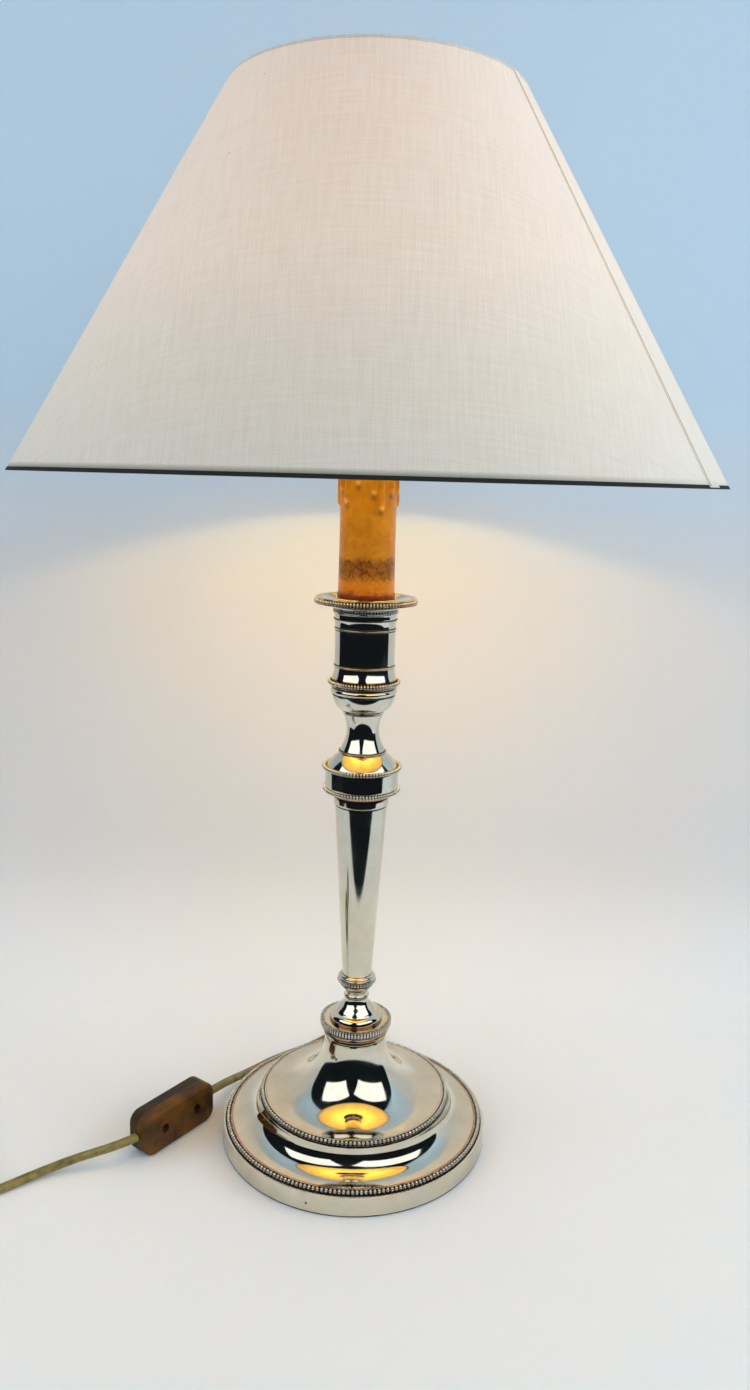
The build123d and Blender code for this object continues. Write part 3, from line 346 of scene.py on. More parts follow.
@dataclass(frozen=True)
class ShadeCloth:
    """Fine plain-woven slub cloth on a stiff backing, glowing where the bulb is near.

    Args:
        name: the finish's name.
        cloth: colour of the cloth.
        shadow: colour between the threads.
        thread: drawn distance between threads in mm. The real one is about 0.45, too fine to
            show, so it is drawn at twice that.
        slub: length of a thick place in a thread in mm.
        glow: strength of the light that comes through.
        fuzz: weight of the fibres' sheen.
        rim_shadow: how dark the painted shadow on the cloth just above the lower hem is, from 0 to
            1.
        bottom: height of the lower rim in mm.
        top: height of the upper rim in mm.
    """

    name: str = "shade_cloth_slub_weave"
    cloth: str = "EBE1D3"
    shadow: str = "D9CCBA"
    thread: float = 0.9
    slub: float = 26.0
    glow: float = 0.3
    fuzz: float = 0.15
    rim_shadow: float = 0.9
    bottom: float = 371.4
    top: float = 548.3

    def build(self) -> Material:
        """Make the material on the cloth's flat pattern, the map called cut."""
        tree = Shader(bpy.data.materials.new(self.name))
        cut = tree.add("UVMap", uv_map="cut")
        pitch = 1.0 / (self.thread * MM)
        waves = [
            tree.add(
                "TexWave",
                {"Vector": cut, "Scale": pitch * 0.314, "Distortion": 3.0, "Detail": 3.0,
                 "Detail Scale": 0.8}, "Fac", bands_direction=direction,
            )
            for direction in ("X", "Y")
        ]
        drawn = 1.0 / (self.slub * MM)
        weft = tree.drawn_noise(cut, (1.0 / (1.3 * MM), drawn, 1.0), 3.0, 0.6)
        warp = tree.drawn_noise(cut, (drawn, 1.0 / (1.6 * MM), 1.0), 3.0, 0.6)
        thick = tree.worked("MULTIPLY_ADD", weft, 1.35, warp)
        relief = tree.worked("MULTIPLY_ADD", thick, 2.2, tree.worked("ADD", *waves))
        light = tree.ranged(relief, 2.2, 5.0)
        # painted shadow: a grey-green band just above the lower hem
        colour = self._painted_rim_shadow(tree, tree.mix(light, self.shadow, self.cloth))
        return tree.surface({
            "Base Color": self._dust(tree, colour), "Roughness": 0.86,
            "Sheen Weight": self.fuzz, "Sheen Roughness": 0.6,
            "Normal": tree.bump(relief, 0.04, 0.5),
            "Emission Color": self._glow(tree, light), "Emission Strength": self.glow,
        })

    def _painted_rim_shadow(self, tree: Shader, colour: Socket) -> Socket:
        """Paint shadow on the cloth just above its lower hem, weaker to the right where more light
        falls.
        """
        low = tree.ranged(tree.place("Z"), (self.bottom + 0.9) * MM, (self.bottom + 3.4) * MM,
                          self.rim_shadow, 0.0)
        left = tree.ranged(tree.place("X"), 40.0 * MM, 150.0 * MM, 1.0, 0.2)
        return tree.mix(tree.worked("MULTIPLY", low, left), colour, "5E665A")

    @staticmethod
    def _dust(tree: Shader, colour: Socket) -> Socket:
        """Lay sparse small specks on the cloth."""
        speck = tree.add(
            "TexVoronoi", {"Vector": tree.place(), "Scale": 1.0 / (34.0 * MM)}, "Distance",
        )
        return tree.mix(tree.ranged(speck, 0.012, 0.022, 0.6, 0.0), colour, "8B7458")

    def _glow(self, tree: Shader, threads: Socket) -> Socket:
        """Give the light that the bulb sends through the cloth, by height."""
        along = tree.ranged(tree.place("Z"), self.bottom * MM, self.top * MM)
        warm = tree.ramp(along, (0.0, "5A4428"), (0.25, "A87C50"), (0.5, "E0A47A"),
                         (0.85, "EAA67E"), (1.0, "E09C76"))
        seen = tree.ranged(threads, 0.0, 1.0, 0.84, 1.0)
        return tree.mix(1.0, warm, seen, blend_type="MULTIPLY")


@dataclass(frozen=True)
class FlexSheath:
    """Gold-coloured translucent PVC twin flex, smooth and a little dusty.

    Args:
        name: the finish's name.
        dark: darker colour of the mottle.
        light: lighter colour of the mottle.
    """

    name: str = "flex_sheath_pvc"
    dark: str = "5A4E22"
    light: str = "9A8A4A"

    def build(self) -> Material:
        """Make the material with mottled gold and soft gloss."""
        tree = Shader(bpy.data.materials.new(self.name))
        mottle = tree.noise(tree.place(), 6.0, 5.0)
        return tree.surface({
            "Base Color": tree.ramp(mottle, (0.3, self.dark), (0.7, self.light)),
            "Roughness": 0.34, "IOR": 1.53, "Subsurface Weight": 0.12,
            "Subsurface Scale": 0.0015, "Normal": tree.bump(mottle, 0.08, 0.4),
        })


@dataclass(frozen=True)
class BulbGlass:
    """Clear blown soda-lime glass, thin enough to see the lit filaments through it."""

    name: str = "bulb_glass_clear"

    def build(self) -> Material:
        """Make the glass, with a faint uneven thickness in its gloss."""
        tree = Shader(bpy.data.materials.new(self.name))
        return tree.surface({
            "Base Color": "FFFAF2", "Roughness": 0.02, "IOR": 1.5, "Transmission Weight": 1.0,
            "Alpha": 0.35, "Normal": tree.bump(tree.noise(tree.place(), 20.0), 0.2, 0.3),
        })


@dataclass(frozen=True)
class LitPhosphor:
    """Phosphor-coated LED filaments, glowing warm white."""

    name: str = "led_filament_phosphor"

    def build(self) -> Material:
        """Make the glowing coat with its grainy phosphor."""
        tree = Shader(bpy.data.materials.new(self.name))
        colour = tree.ramp(tree.noise(tree.place(), 0.6), (0.3, "FFB450"), (0.7, "FFE0A0"))
        return tree.surface({
            "Base Color": colour, "Roughness": 0.6, "Emission Color": colour,
            "Emission Strength": 3.0,
        })


@dataclass(frozen=True)
class PaperSweep:
    """White backdrop paper whose upper part carries a painted bluish daylight colour.

    Args:
        name: the finish's name.
        floor: colour of the paper that lies flat.
        wall: colour of the paper as it rises.
        painted_cool_light: painted bluish daylight colour of the upper wall.
    """

    name: str = "backdrop_paper_matt"
    floor: str = "E9ECF0"
    wall: str = "E0DFE0"
    painted_cool_light: str = "C8DCEC"

    def build(self) -> Material:
        """Make the paper, which can't be seen from behind."""
        tree = Shader(bpy.data.materials.new(self.name))
        # painted light: the wall turns bluish higher up, standing in for daylight
        colour = tree.ramp(
            tree.ranged(tree.place("Z"), 0.0, 0.6), (0.0, self.floor), (0.12, self.wall),
            (0.5, self.wall), (0.72, self.painted_cool_light),
        )
        paper = tree.add("BsdfDiffuse", {"Color": colour})
        clear = tree.add("BsdfTransparent")
        behind = tree.add("NewGeometry", out="Backfacing")
        return tree.close(tree.add("MixShader", {0: behind, 1: paper, 2: clear}))


# ------------------------------------------------------------------ modelling


class Outline:
    """A half section drawn from point to point, as radius and height in millimetres."""

    def __init__(self, *points: Point) -> None:
        """Start at the given points."""
        self.points: list[Point] = list(points)

    def to(self, *points: Point) -> "Outline":
        """Go straight to each point and return the outline."""
        self.points.extend(points)
        return self

    def curve(self, leave: Point, arrive: Point, end: Point, steps: int = 14) -> "Outline":
        """Go to a point on a cubic curve.

        Args:
            leave: handle of the last point.
            arrive: handle of the new point.
            end: the new point.
            steps: points that the curve gets.

        Returns:
            The outline.
        """
        start = self.points[-1]
        for step in range(1, steps + 1):
            t = step / steps
            s = 1.0 - t
            self.points.append(tuple(
                s ** 3 * start[i] + 3 * s * s * t * leave[i]
                + 3 * s * t * t * arrive[i] + t ** 3 * end[i]
                for i in (0, 1)
            ))
        return self

    def arc(self, end: Point, radius: float, steps: int = 10) -> "Outline":
        """Go to a point on an arc of a radius that bulges away from the axis."""
        start, finish = Vector(self.points[-1]), Vector(end)
        chord = finish - start
        across = Vector((chord.y, -chord.x)).normalized()
        if across.x < 0:
            across = -across
        depth = math.sqrt(max(radius ** 2 - chord.length_squared / 4, 0.0))
        centre = (start + finish) / 2 - across * depth
        first, last = start - centre, finish - centre
        sweep = first.angle_signed(last)
        for step in range(1, steps + 1):
            turned = Matrix.Rotation(-sweep * step / steps, 2) @ first
            self.points.append(tuple(centre + turned))
        return self


def divided(points: list[Point], longest: float) -> list[Point]:
    """Divide a closed outline's long straight runs, so that tarnish can end where it should.

    Args:
        points: the outline's points.
        longest: the longest run that stays whole, in mm.

    Returns:
        The outline with points added on its long runs.
    """
    out = []
    for index, here in enumerate(points):
        there = points[(index + 1) % len(points)]
        length = math.hypot(there[0] - here[0], there[1] - here[1])
        parts = max(1, math.ceil(length / longest))
        out.extend(
            (here[0] + (there[0] - here[0]) * i / parts,
             here[1] + (there[1] - here[1]) * i / parts)
            for i in range(parts)
        )
    return out


def metres(x: float, y: float, z: float) -> Vector:
    """Turn a place in millimetres into one in metres."""
    return Vector((x * MM, y * MM, z * MM))


def linked(name: str, data: bpy.types.ID) -> Piece:
    """Put new data into the scene as an object."""
    made = bpy.data.objects.new(name, data)
    bpy.context.scene.collection.objects.link(made)
    return made


def clear_selection() -> None:
    """Leave edit mode, deselect everything and go back to picking vertices."""
    if bpy.context.mode != "OBJECT":
        bpy.ops.object.mode_set(mode="OBJECT")
    bpy.ops.object.select_all(action="DESELECT")
    bpy.context.tool_settings.mesh_select_mode = (True, False, False)


def pick(piece: Piece) -> None:
    """Make a piece the active one and the only one that is selected."""
    clear_selection()
    bpy.context.view_layer.objects.active = piece
    piece.select_set(True)


@contextmanager
def editing(piece: Piece, action: str = "SELECT") -> Iterator[None]:
    """Hold a piece in edit mode, after all of it is selected or deselected."""
    pick(piece)
    bpy.ops.object.mode_set(mode="EDIT")
    bpy.ops.mesh.select_all(action=action)
    yield
    bpy.ops.object.mode_set(mode="OBJECT")


def primitive(name: str, kind: str, **settings: object) -> Piece:
    """Add one of Blender's mesh primitives under a name.

    Args:
        name: the piece's name.
        kind: the primitive, such as "cube".
        **settings: what its operator takes.

    Returns:
        The piece.
    """
    clear_selection()
    getattr(bpy.ops.mesh, f"primitive_{kind}_add")(**settings)
    piece = bpy.context.object
    piece.name = piece.data.name = name
    return piece


def apply_place(piece: Piece) -> None:
    """Move a piece's place into its mesh, so that its object sits at the origin."""
    pick(piece)
    bpy.ops.object.transform_apply(location=True, rotation=True, scale=True)


def apply_modifier(piece: Piece, kind: str, **settings: object) -> None:
    """Add a modifier of a type with its settings to a piece, and apply it."""
    pick(piece)
    made = piece.modifiers.new(kind.lower(), kind)
    for key, value in settings.items():
        setattr(made, key, value)
    bpy.ops.object.modifier_apply(modifier=made.name)


def smooth(piece: Piece, angle: float = 32.0) -> None:
    """Shade a piece smooth except over edges sharper than the angle in degrees."""
    pick(piece)
    bpy.ops.object.shade_smooth_by_angle(angle=math.radians(angle))


def drawn_line(name: str, places: list[Vector]) -> Piece:
    """Draw a line by extruding a point from place to place, in metres."""
    piece = primitive(name, "plane", size=0.001)
    with editing(piece):
        bpy.ops.mesh.merge(type="CENTER")
        bpy.ops.transform.translate(value=places[0])
        for last, here in zip(places, places[1:]):
            bpy.ops.mesh.extrude_vertices_move(TRANSFORM_OT_translate={"value": here - last})
    return piece


def spun(
    name: str, outline: Outline, steps: int = 160, ease: float = 0.12, longest: float = 0.0,
) -> Piece:
    """Draw an outline and spin it about the lamp's axis.

    Args:
        name: the piece's name.
        outline: the half section.
        steps: faces round the piece.
        ease: width in mm of the rounding on sharp edges, or 0 for none.
        longest: longest straight run that isn't divided, or 0 to divide none.

    Returns:
        The closed piece, shaded smooth.
    """
    points = divided(outline.points, longest) if longest else outline.points
    places = [metres(radius, 0.0, height) for radius, height in points]
    piece = drawn_line(name, places + places[:1])
    with editing(piece):
        bpy.ops.mesh.spin(
            steps=steps, angle=TURN, center=(0.0, 0.0, 0.0), axis=(0.0, 0.0, 1.0), dupli=False,
        )
    with editing(piece):
        bpy.ops.mesh.remove_doubles(threshold=1e-6)
        bpy.ops.mesh.normals_make_consistent(inside=False)
    if ease:
        apply_modifier(
            piece, "BEVEL", width=ease * MM, segments=2, limit_method="ANGLE",
            angle_limit=math.radians(35.0),
        )
    smooth(piece)
    return piece


def repeat_round(piece: Piece, count: int) -> None:
    """Copy a piece's mesh round the lamp's axis so that it stands there count times."""
    with editing(piece):
        bpy.ops.mesh.spin(
            steps=count - 1, angle=TURN * (count - 1) / count, center=(0.0, 0.0, 0.0),
            axis=(0.0, 0.0, 1.0), dupli=True,
        )


def bead_row(name: str, radius: float, height: float, count: int, size: Place) -> Piece:
    """Make a row of struck beads as one piece.

    Args:
        name: the row's name.
        radius: radius of the beads' centres.
        height: height of their centres.
        count: beads in the row.
        size: half depth, half width and half height of one bead.

    Returns:
        The row.
    """
    row = primitive(name, "uv_sphere", segments=10, ring_count=7, radius=1.0,
                    location=(radius * MM, 0.0, height * MM))
    row.scale = [value * MM for value in size]
    apply_place(row)
    repeat_round(row, count)
    smooth(row, 60.0)
    return row


def tick_row(
    name: str, inner: float, outer: float, bottom: float, top: float, count: int,
) -> Piece:
    """Make a row of short upright bars with rounded fronts as one piece.

    Args:
        name: the row's name.
        inner: radius of the bars' backs.
        outer: radius of their fronts.
        bottom: height of their feet.
        top: height of their tops.
        count: bars in the row.

    Returns:
        The row.
    """
    middle = ((inner + outer) / 2 * MM, 0.0, (bottom + top) / 2 * MM)
    row = primitive(name, "cube", size=1.0, location=middle)
    row.scale = ((outer - inner) * MM, TURN * outer / count * 0.66 * MM, (top - bottom) * MM)
    apply_place(row)
    with editing(row):
        bpy.ops.mesh.bevel(offset=0.26 * MM, segments=2)
    repeat_round(row, count)
    smooth(row, 60.0)
    return row


def mark(piece: Piece, attribute: str, rule: Callable[[Vector], float]) -> None:
    """Write a point attribute that a rule gives for each vertex's place in metres."""
    made = piece.data.attributes.new(attribute, "FLOAT", "POINT")
    made.data.foreach_set("value", [rule(vertex.co) for vertex in piece.data.vertices])


def mark_between(row: Piece, count: int, start: float = 0.6, full: float = 1.0) -> None:
    """Mark the tarnish that stays between the beads or bars of a row.

    Args:
        row: the row.
        count: beads or bars in it.
        start: share of the half pitch where the tarnish begins.
        full: share where it is full.
    """
    def darkness(place: Vector) -> float:
        """Give the tarnish at a place from how far it lies from a bead's middle."""
        turn = math.atan2(place.y, place.x) / TURN * count
        off = abs(turn - round(turn)) * 2.0
        return min(max((off - start) / (full - start), 0.0), 1.0)

    mark(row, "tarnish", darkness)


def mark_rings(piece: Piece, attribute: str, rings: list[Place]) -> None:
    """Mark rings of a piece, each with radius, height and reach in mm, and fade from them."""
    def nearness(place: Vector) -> float:
        """Give how near a place is to the nearest ring."""
        radius, height = math.hypot(place.x, place.y) / MM, place.z / MM
        return max(
            math.exp(-(((radius - r) ** 2 + (height - z) ** 2) / reach ** 2))
            for r, z, reach in rings
        )

    mark(piece, attribute, nearness)


def finish_piece(piece: Piece, material: Material, body: Body, slot: str, *nodes: str) -> Piece:
    """Dress a piece, hang it on its body and name what it stands for.

    Args:
        piece: the piece.
        material: its material.
        body: the body it rides on.
        slot: the record's material slot; not used.
        *nodes: frame nodes that it replaces.

    Returns:
        The piece.
    """
    piece.data.materials.clear()
    piece.data.materials.append(material)
    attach(piece, body.value)
    if nodes:
        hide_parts(*nodes)
    log.info("%s rides on %s and stands for %s", piece.name, body.value, list(nodes))
    return piece


def eased(
    node: str, name: str, material: Material, slot: str, body: Body = Body.LAMP,
    angle: float = 30.0,
) -> Piece:
    """Stand a smoothly shaded copy of a frame node's mesh in its place.

    Args:
        node: the node's name.
        name: the copy's name.
        material: its material.
        slot: the record's material slot; not used.
        body: the body it rides on.
        angle: edges sharper than this stay crisp.

    Returns:
        The copy, at the origin.
    """
    piece = linked(name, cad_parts[node].data.copy())
    piece.data.name = name
    with editing(piece):
        bpy.ops.mesh.remove_doubles(threshold=2e-6)
    if "custom_normal" in piece.data.attributes:
        bpy.ops.mesh.customdata_custom_splitnormals_clear()
    smooth(piece, angle)
    return finish_piece(piece, material, body, slot, node)


def dress(material: Material, *nodes: str) -> None:
    """Give frame nodes a material in each of their slots."""
    for node in nodes:
        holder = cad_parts[node]
        if not holder.data.materials:
            holder.data.materials.append(material)
        for slot in holder.material_slots:
            slot.link = "OBJECT"
            slot.material = material
        log.info("%s wears %s", node, material.name)


# ------------------------------------------------------------------ the photograph's camera


@dataclass(frozen=True)
class PhotoCamera:
    """The camera of the photograph, fitted to the shade's rims and the foot's rings."""

    place: Place = (0.0, -537.8, 371.0)
    lens: float = 26.69
    sensor: float = 36.0
    pitch: float = 11.80
    yaw: float = 0.642
    roll: float = 1.540

    def build(self) -> None:
        """Make the camera and set it as the scene's."""
        pitch, yaw, roll = (math.radians(v) for v in (self.pitch, self.yaw, self.roll))
        ahead = Vector((
            math.sin(yaw) * math.cos(pitch), math.cos(yaw) * math.cos(pitch), -math.sin(pitch),
        ))
        right = Vector((math.cos(yaw), -math.sin(yaw), 0.0))
        up = right.cross(ahead)
        across = right * math.cos(roll) + up * math.sin(roll)
        upward = up * math.cos(roll) - right * math.sin(roll)
        data = bpy.data.cameras.new("photo_camera")
        data.lens, data.sensor_width = self.lens, self.sensor
        data.clip_start, data.clip_end = 0.01, 60.0
        made = linked("photo_camera", data)
        turn = Matrix((across, upward, -ahead)).transposed().to_4x4()
        made.matrix_world = Matrix.Translation(Vector(self.place) * MM) @ turn
        bpy.context.scene.camera = made


# ------------------------------------------------------------------ the mains lead


@dataclass
class MainsLead:
    """Flat twin flex from the foot to the switch, and on through its coil to the plug."""

    width: float = 5.3
    thickness: float = 4.0
    groove: float = 0.5
    coil_centre: Point = (-238.0, -56.0)
    coil_bearing: float = 222.5
    coil_radius: float = 39.25
    turn_step: float = 2.95
    layer_low: float = 2.1
    layer_high: float = 6.4
    inner_half_turn: int = 8
    points_per_half: int = 8
    pull_in: float = 0.981
    lamp_length: float = 0.171
    plug_length: float = 1.531

    lamp_route = (
        (16.24, 76.4, 6.6), (18.5, 87.1, 6.5), (13.8, 98.7, 4.2), (3.2, 105.3, 2.3),
        (-9.3, 104.4, 2.1), (-19.0, 95.7, 2.1), (-28.4, 85.3, 2.1), (-40.0, 76.5, 2.1),
        (-50.5, 69.0, 2.1), (-59.5, 59.5, 2.3), (-67.6, 48.2, 4.0), (-75.6, 33.7, 8.2),
        (-82.6, 19.4, 12.0), (-87.85, 12.35, 12.0),
    )
    switch_route = (
        (-119.5, -29.7, 12.0), (-123.6, -33.3, 12.0), (-131.2, -37.0, 10.8),
        (-141.5, -39.2, 8.4), (-153.0, -41.5, 5.4), (-164.5, -46.6, 3.2),
        (-175.5, -54.0, 2.2), (-193.5, -68.6, 2.1),
    )

    def section(self) -> Piece:
        """Draw the flex's flat section, with the groove between its two cores."""
        data = bpy.data.curves.new("flex_section", "CURVE")
        data.dimensions = "2D"
        spline = data.splines.new("POLY")
        core = self.thickness / 2
        offset = self.width / 2 - core
        points = []
        for side in (1, -1):
            for step in range(9):
                angle = math.radians(-90 + 180 * step / 8)
                points.append((side * (offset + core * math.cos(angle)),
                               side * core * math.sin(angle)))
            points.append((0.0, side * (core - self.groove)))
        spline.points.add(len(points) - 1)
        # backwards, so that the flex's faces point outwards
        for knot, (x, y) in zip(spline.points, reversed(points)):
            knot.co = (x * MM, y * MM, 0.0, 1.0)
        spline.use_cyclic_u = True
        made = linked("flex_section", data)
        made.hide_render = True
        return made

    def coil_point(self, outward: float, along: float, height: float) -> Place:
        """Place a point of the put-away coil from its own two directions."""
        bearing = math.radians(self.coil_bearing)
        x = self.coil_centre[0] - math.sin(bearing) * outward + math.cos(bearing) * along
        y = self.coil_centre[1] + math.cos(bearing) * outward + math.sin(bearing) * along
        return (x, y, height)

    def coil_route(self) -> list[Place]:
        """List the coil's points: in by the lower layer, out on top and on to the plug."""
        down = list(range(self.inner_half_turn + 1))
        halves = down + list(reversed(down[1:-1]))
        route = [self.coil_point(self.coil_radius, -5.3, self.layer_low)]
        place = self.coil_radius
        for number, step in enumerate(halves):
            radius = self.coil_radius - step * self.turn_step
            side = 1 if number % 2 == 0 else -1
            centre = place - side * radius
            for index in range(self.points_per_half):
                share = (index + 0.5) / self.points_per_half
                angle = math.pi * (share if side > 0 else 1 + share)
                reach = radius / self.pull_in
                height = self.layer_low
                if number == self.inner_half_turn:
                    height += (self.layer_high - self.layer_low) * share
                elif number > self.inner_half_turn:
                    height = self.layer_high
                route.append(self.coil_point(
                    centre + reach * math.cos(angle), reach * math.sin(angle), height,
                ))
            place -= 2 * side * radius
        for along, height in ((6.0, 6.4), (18.0, 6.6), (30.0, 6.9), (40.6, 6.95)):
            route.append(self.coil_point(self.coil_radius, along, height))
        return route

    def run(self, name: str, route: list[Place], section: Piece) -> Piece:
        """Lay one length of flex with its section along control points in mm."""
        data = bpy.data.curves.new(name, "CURVE")
        data.dimensions = "3D"
        data.twist_mode = "Z_UP"
        spline = data.splines.new("NURBS")
        spline.points.add(len(route) - 1)
        for knot, place in zip(spline.points, route):
            knot.co = (place[0] * MM, place[1] * MM, place[2] * MM, 1.0)
        spline.order_u = 3
        spline.use_endpoint_u = True
        spline.resolution_u = 5
        data.bevel_mode = "OBJECT"
        data.bevel_object = section
        data.use_fill_caps = True
        return linked(name, data)

    def build(self) -> None:
        """Make both lengths, the switch, the plug and the bush."""
        flex = FlexSheath().build()
        # urea switch mouldings: deep brown, glossy, with a soft mottle
        urea = {"rough": (0.4, 0.55), "ior": 1.36, "drift": 14.0, "grain": 0.7, "relief": 0.03}
        brown = PlainFinish("switch_moulding_urea", "2A1200", "704602", **urea).build()
        back = PlainFinish("switch_back_urea", "1E1604", "403008", **urea).build()
        nickel = PlainFinish(
            "nickel_plate", "A9A69F", "CFCCC4", rough=(0.16, 0.3), metallic=1.0, relief=0.005,
        ).build()
        section = self.section()
        front = eased("switch_front", "switch_cap", brown, "switch_brown")
        rear = eased("switch_back", "switch_rear_half", back, "switch_brown")
        eased("switch_rocker", "rocker_key", brown, "switch_brown", Body.ROCKER)
        plug = eased("plug_body", "plug_moulding", back, "switch_brown")
        pins = eased("plug_pins", "plug_contact_pins", nickel, "nickel")
        dress(nickel, "switch_screws")
        dress(BRASS, "switch_terminals")
        bush = PlainFinish(
            "bush_nylon", "3E3620", "544A2C", rough=(0.4, 0.55), drift=4.0,
        ).build()
        eased("cord_bush", "foot_bush", bush, "bush_plastic")
        lamp_run = self.run("flex_to_switch", list(self.lamp_route), section)
        finish_piece(lamp_run, flex, Body.LAMP, "flex", "cord_lamp")
        plug_run = self.run(
            "flex_to_plug", list(self.switch_route) + self.coil_route(), section,
        )
        finish_piece(plug_run, flex, Body.LAMP, "flex", "cord_switch", "cord_coil")
        dress(flex, "inner_flex")


# ------------------------------------------------------------------ the candlestick


@dataclass
class Candlestick:
    """The turned, plated stem from the foot to the drip pan, with its rows of beads."""

    bore: float = 5.05
    hole_radius: float = 3.7
    hole_bearing: float = 78.0
    hole_height: float = 6.6
    hole_middle: float = 74.5
    hole_depth: float = 12.0

    # radius, height, count and half sizes of the beads of each row
    bead_rows = {
        "foot_outer_beads": (72.15, 12.4, 197, (1.15, 0.98, 1.2)),
        "foot_inner_beads": (52.6, 26.8, 146, (1.1, 0.96, 1.15)),
        "pedestal_beads": (9.9, 94.7, 38, (1.1, 0.66, 1.1)),
        "knop_lower_beads": (19.9, 207.2, 75, (1.2, 0.65, 1.25)),
        "knop_upper_beads": (20.35, 219.5, 75, (1.2, 0.67, 1.25)),
        "cup_beads": (18.2, 266.0, 69, (1.2, 0.64, 1.25)),
        "pan_beads": (26.1, 309.2, 98, (1.2, 0.65, 1.25)),
    }
    # name, inner and outer radius, bottom, top and count of the bars of each row
    tick_rows = {
        "collar_beads": ("collar_bars", 18.95, 20.25, 68.45, 71.4, 72),
        "pan_lower_beads": ("pan_bars", 16.05, 17.2, 303.4, 305.2, 63),
    }

    def foot_outline(self) -> Outline:
        """Draw the foot: upright rim, cove, small step and the trumpet up to the collar."""
        return (
            Outline((73.7, 0.4), (75.1, 0.4), (74.8, 11.2), (70.9, 11.2), (70.9, 12.88))
            .curve((61.4, 12.88), (54.4, 15.6), (53.9, 24.6), 22)
            .to((53.6, 25.6), (51.4, 25.6), (51.4, 27.5), (50.5, 27.5))
            .curve((33.5, 27.5), (17.4, 41.0), (17.4, 60.0), 34)
            .curve((17.4, 64.0), (19.4, 64.4), (19.4, 67.9), 12)
            .to((self.bore, 67.9), (self.bore, 66.5), (16.0, 66.5), (16.0, 60.0))
            .curve((16.0, 41.0), (32.9, 26.2), (50.3, 26.2), 20)
            .to((52.2, 24.2))
            .curve((53.0, 14.6), (60.6, 11.7), (69.4, 11.7), 14)
            .to((69.4, 9.9), (73.4, 9.9))
        )

    def turned_outlines(self) -> dict[str, Outline]:
        """Draw every other turned piece from the collar up, by the node it stands for."""
        bore = self.bore
        return {
            "collar": Outline((bore, 67.95), (19.9, 67.95), (19.9, 68.4), (18.9, 68.4),
                              (18.9, 71.45), (bore, 71.45)),
            "pedestal": (
                Outline((bore, 71.5), (14.3, 71.5), (14.9, 72.1), (14.9, 72.8))
                .arc((11.7, 75.9), 3.6).to((11.4, 76.3))
                .curve((9.5, 79.9), (6.6, 80.5), (6.6, 84.7), 14)
                .arc((6.6, 86.7), 1.25, 6)
                .curve((6.7, 90.55), (9.65, 90.55), (9.75, 93.55), 12)
                .to((8.75, 93.55), (8.75, 95.8), (bore, 95.8))
            ),
            "column_seat": Outline((bore, 95.85), (10.2, 95.85), (10.6, 96.25), (10.3, 97.05),
                                   (9.5, 97.25), (9.7, 97.85), (9.2, 98.35), (8.6, 98.75),
                                   (bore, 98.75)),
            "column": Outline((bore, 98.8), (8.2, 98.8), (10.2, 132.0), (12.2, 165.2),
                              (14.2, 198.4), (bore, 198.4)),
            "knop": (
                Outline((bore, 198.45), (14.4, 198.45), (14.9, 199.05), (14.9, 202.55),
                        (14.7, 203.05), (18.6, 205.95), (18.6, 208.5), (19.8, 208.5),
                        (19.8, 218.2), (19.05, 218.2), (19.05, 220.1))
                .arc((12.6, 227.4), 24.0, 16).to((bore, 227.4))
            ),
            "neck": (
                Outline((bore, 227.45), (12.7, 227.45), (13.0, 227.75), (13.0, 228.25),
                        (12.3, 228.55))
                .curve((10.6, 231.95), (8.5, 235.45), (8.7, 240.25), 16)
                .curve((8.8, 244.45), (10.1, 246.95), (10.8, 249.15), 12)
                .to((11.3, 249.35), (11.3, 250.25), (10.9, 250.55), (bore, 250.55))
            ),
            "cup_bowl": (
                Outline((bore, 250.6), (11.2, 250.6))
                .curve((14.2, 251.2), (16.3, 255.0), (16.8, 259.2), 16).to((16.8, 259.8))
                .arc((16.8, 263.0), 1.8, 10)
                .to((16.8, 263.5), (17.9, 263.9), (17.9, 264.7), (16.9, 264.7),
                    (16.9, 267.25), (bore, 267.25))
            ),
            "cup_barrel": (
                Outline((bore, 267.3), (17.5, 267.3))
                .curve((17.0, 269.9), (16.1, 270.7), (16.0, 274.3), 12)
                .to((16.5, 274.5), (16.5, 275.1), (16.0, 275.3), (16.0, 284.6), (16.0, 294.0),
                    (16.5, 294.2), (16.5, 294.8), (16.0, 295.0), (16.0, 296.5))
                .curve((16.1, 297.8), (16.3, 298.9), (16.9, 299.9), 8)
                .to((bore, 299.9))
            ),
            "drip_pan": (
                Outline((bore, 299.95), (16.4, 299.95), (16.4, 302.4), (17.2, 302.7),
                        (17.2, 303.35), (16.0, 303.35), (16.0, 305.25), (18.2, 305.5))
                .curve((18.8, 307.0), (23.0, 307.0), (27.0, 307.9), 16)
                .to((24.8, 307.9), (24.8, 310.5), (26.5, 310.5), (26.5, 311.1),
                    (23.6, 311.1), (16.8, 309.15), (15.6, 310.45), (bore, 310.45))
            ),
        }

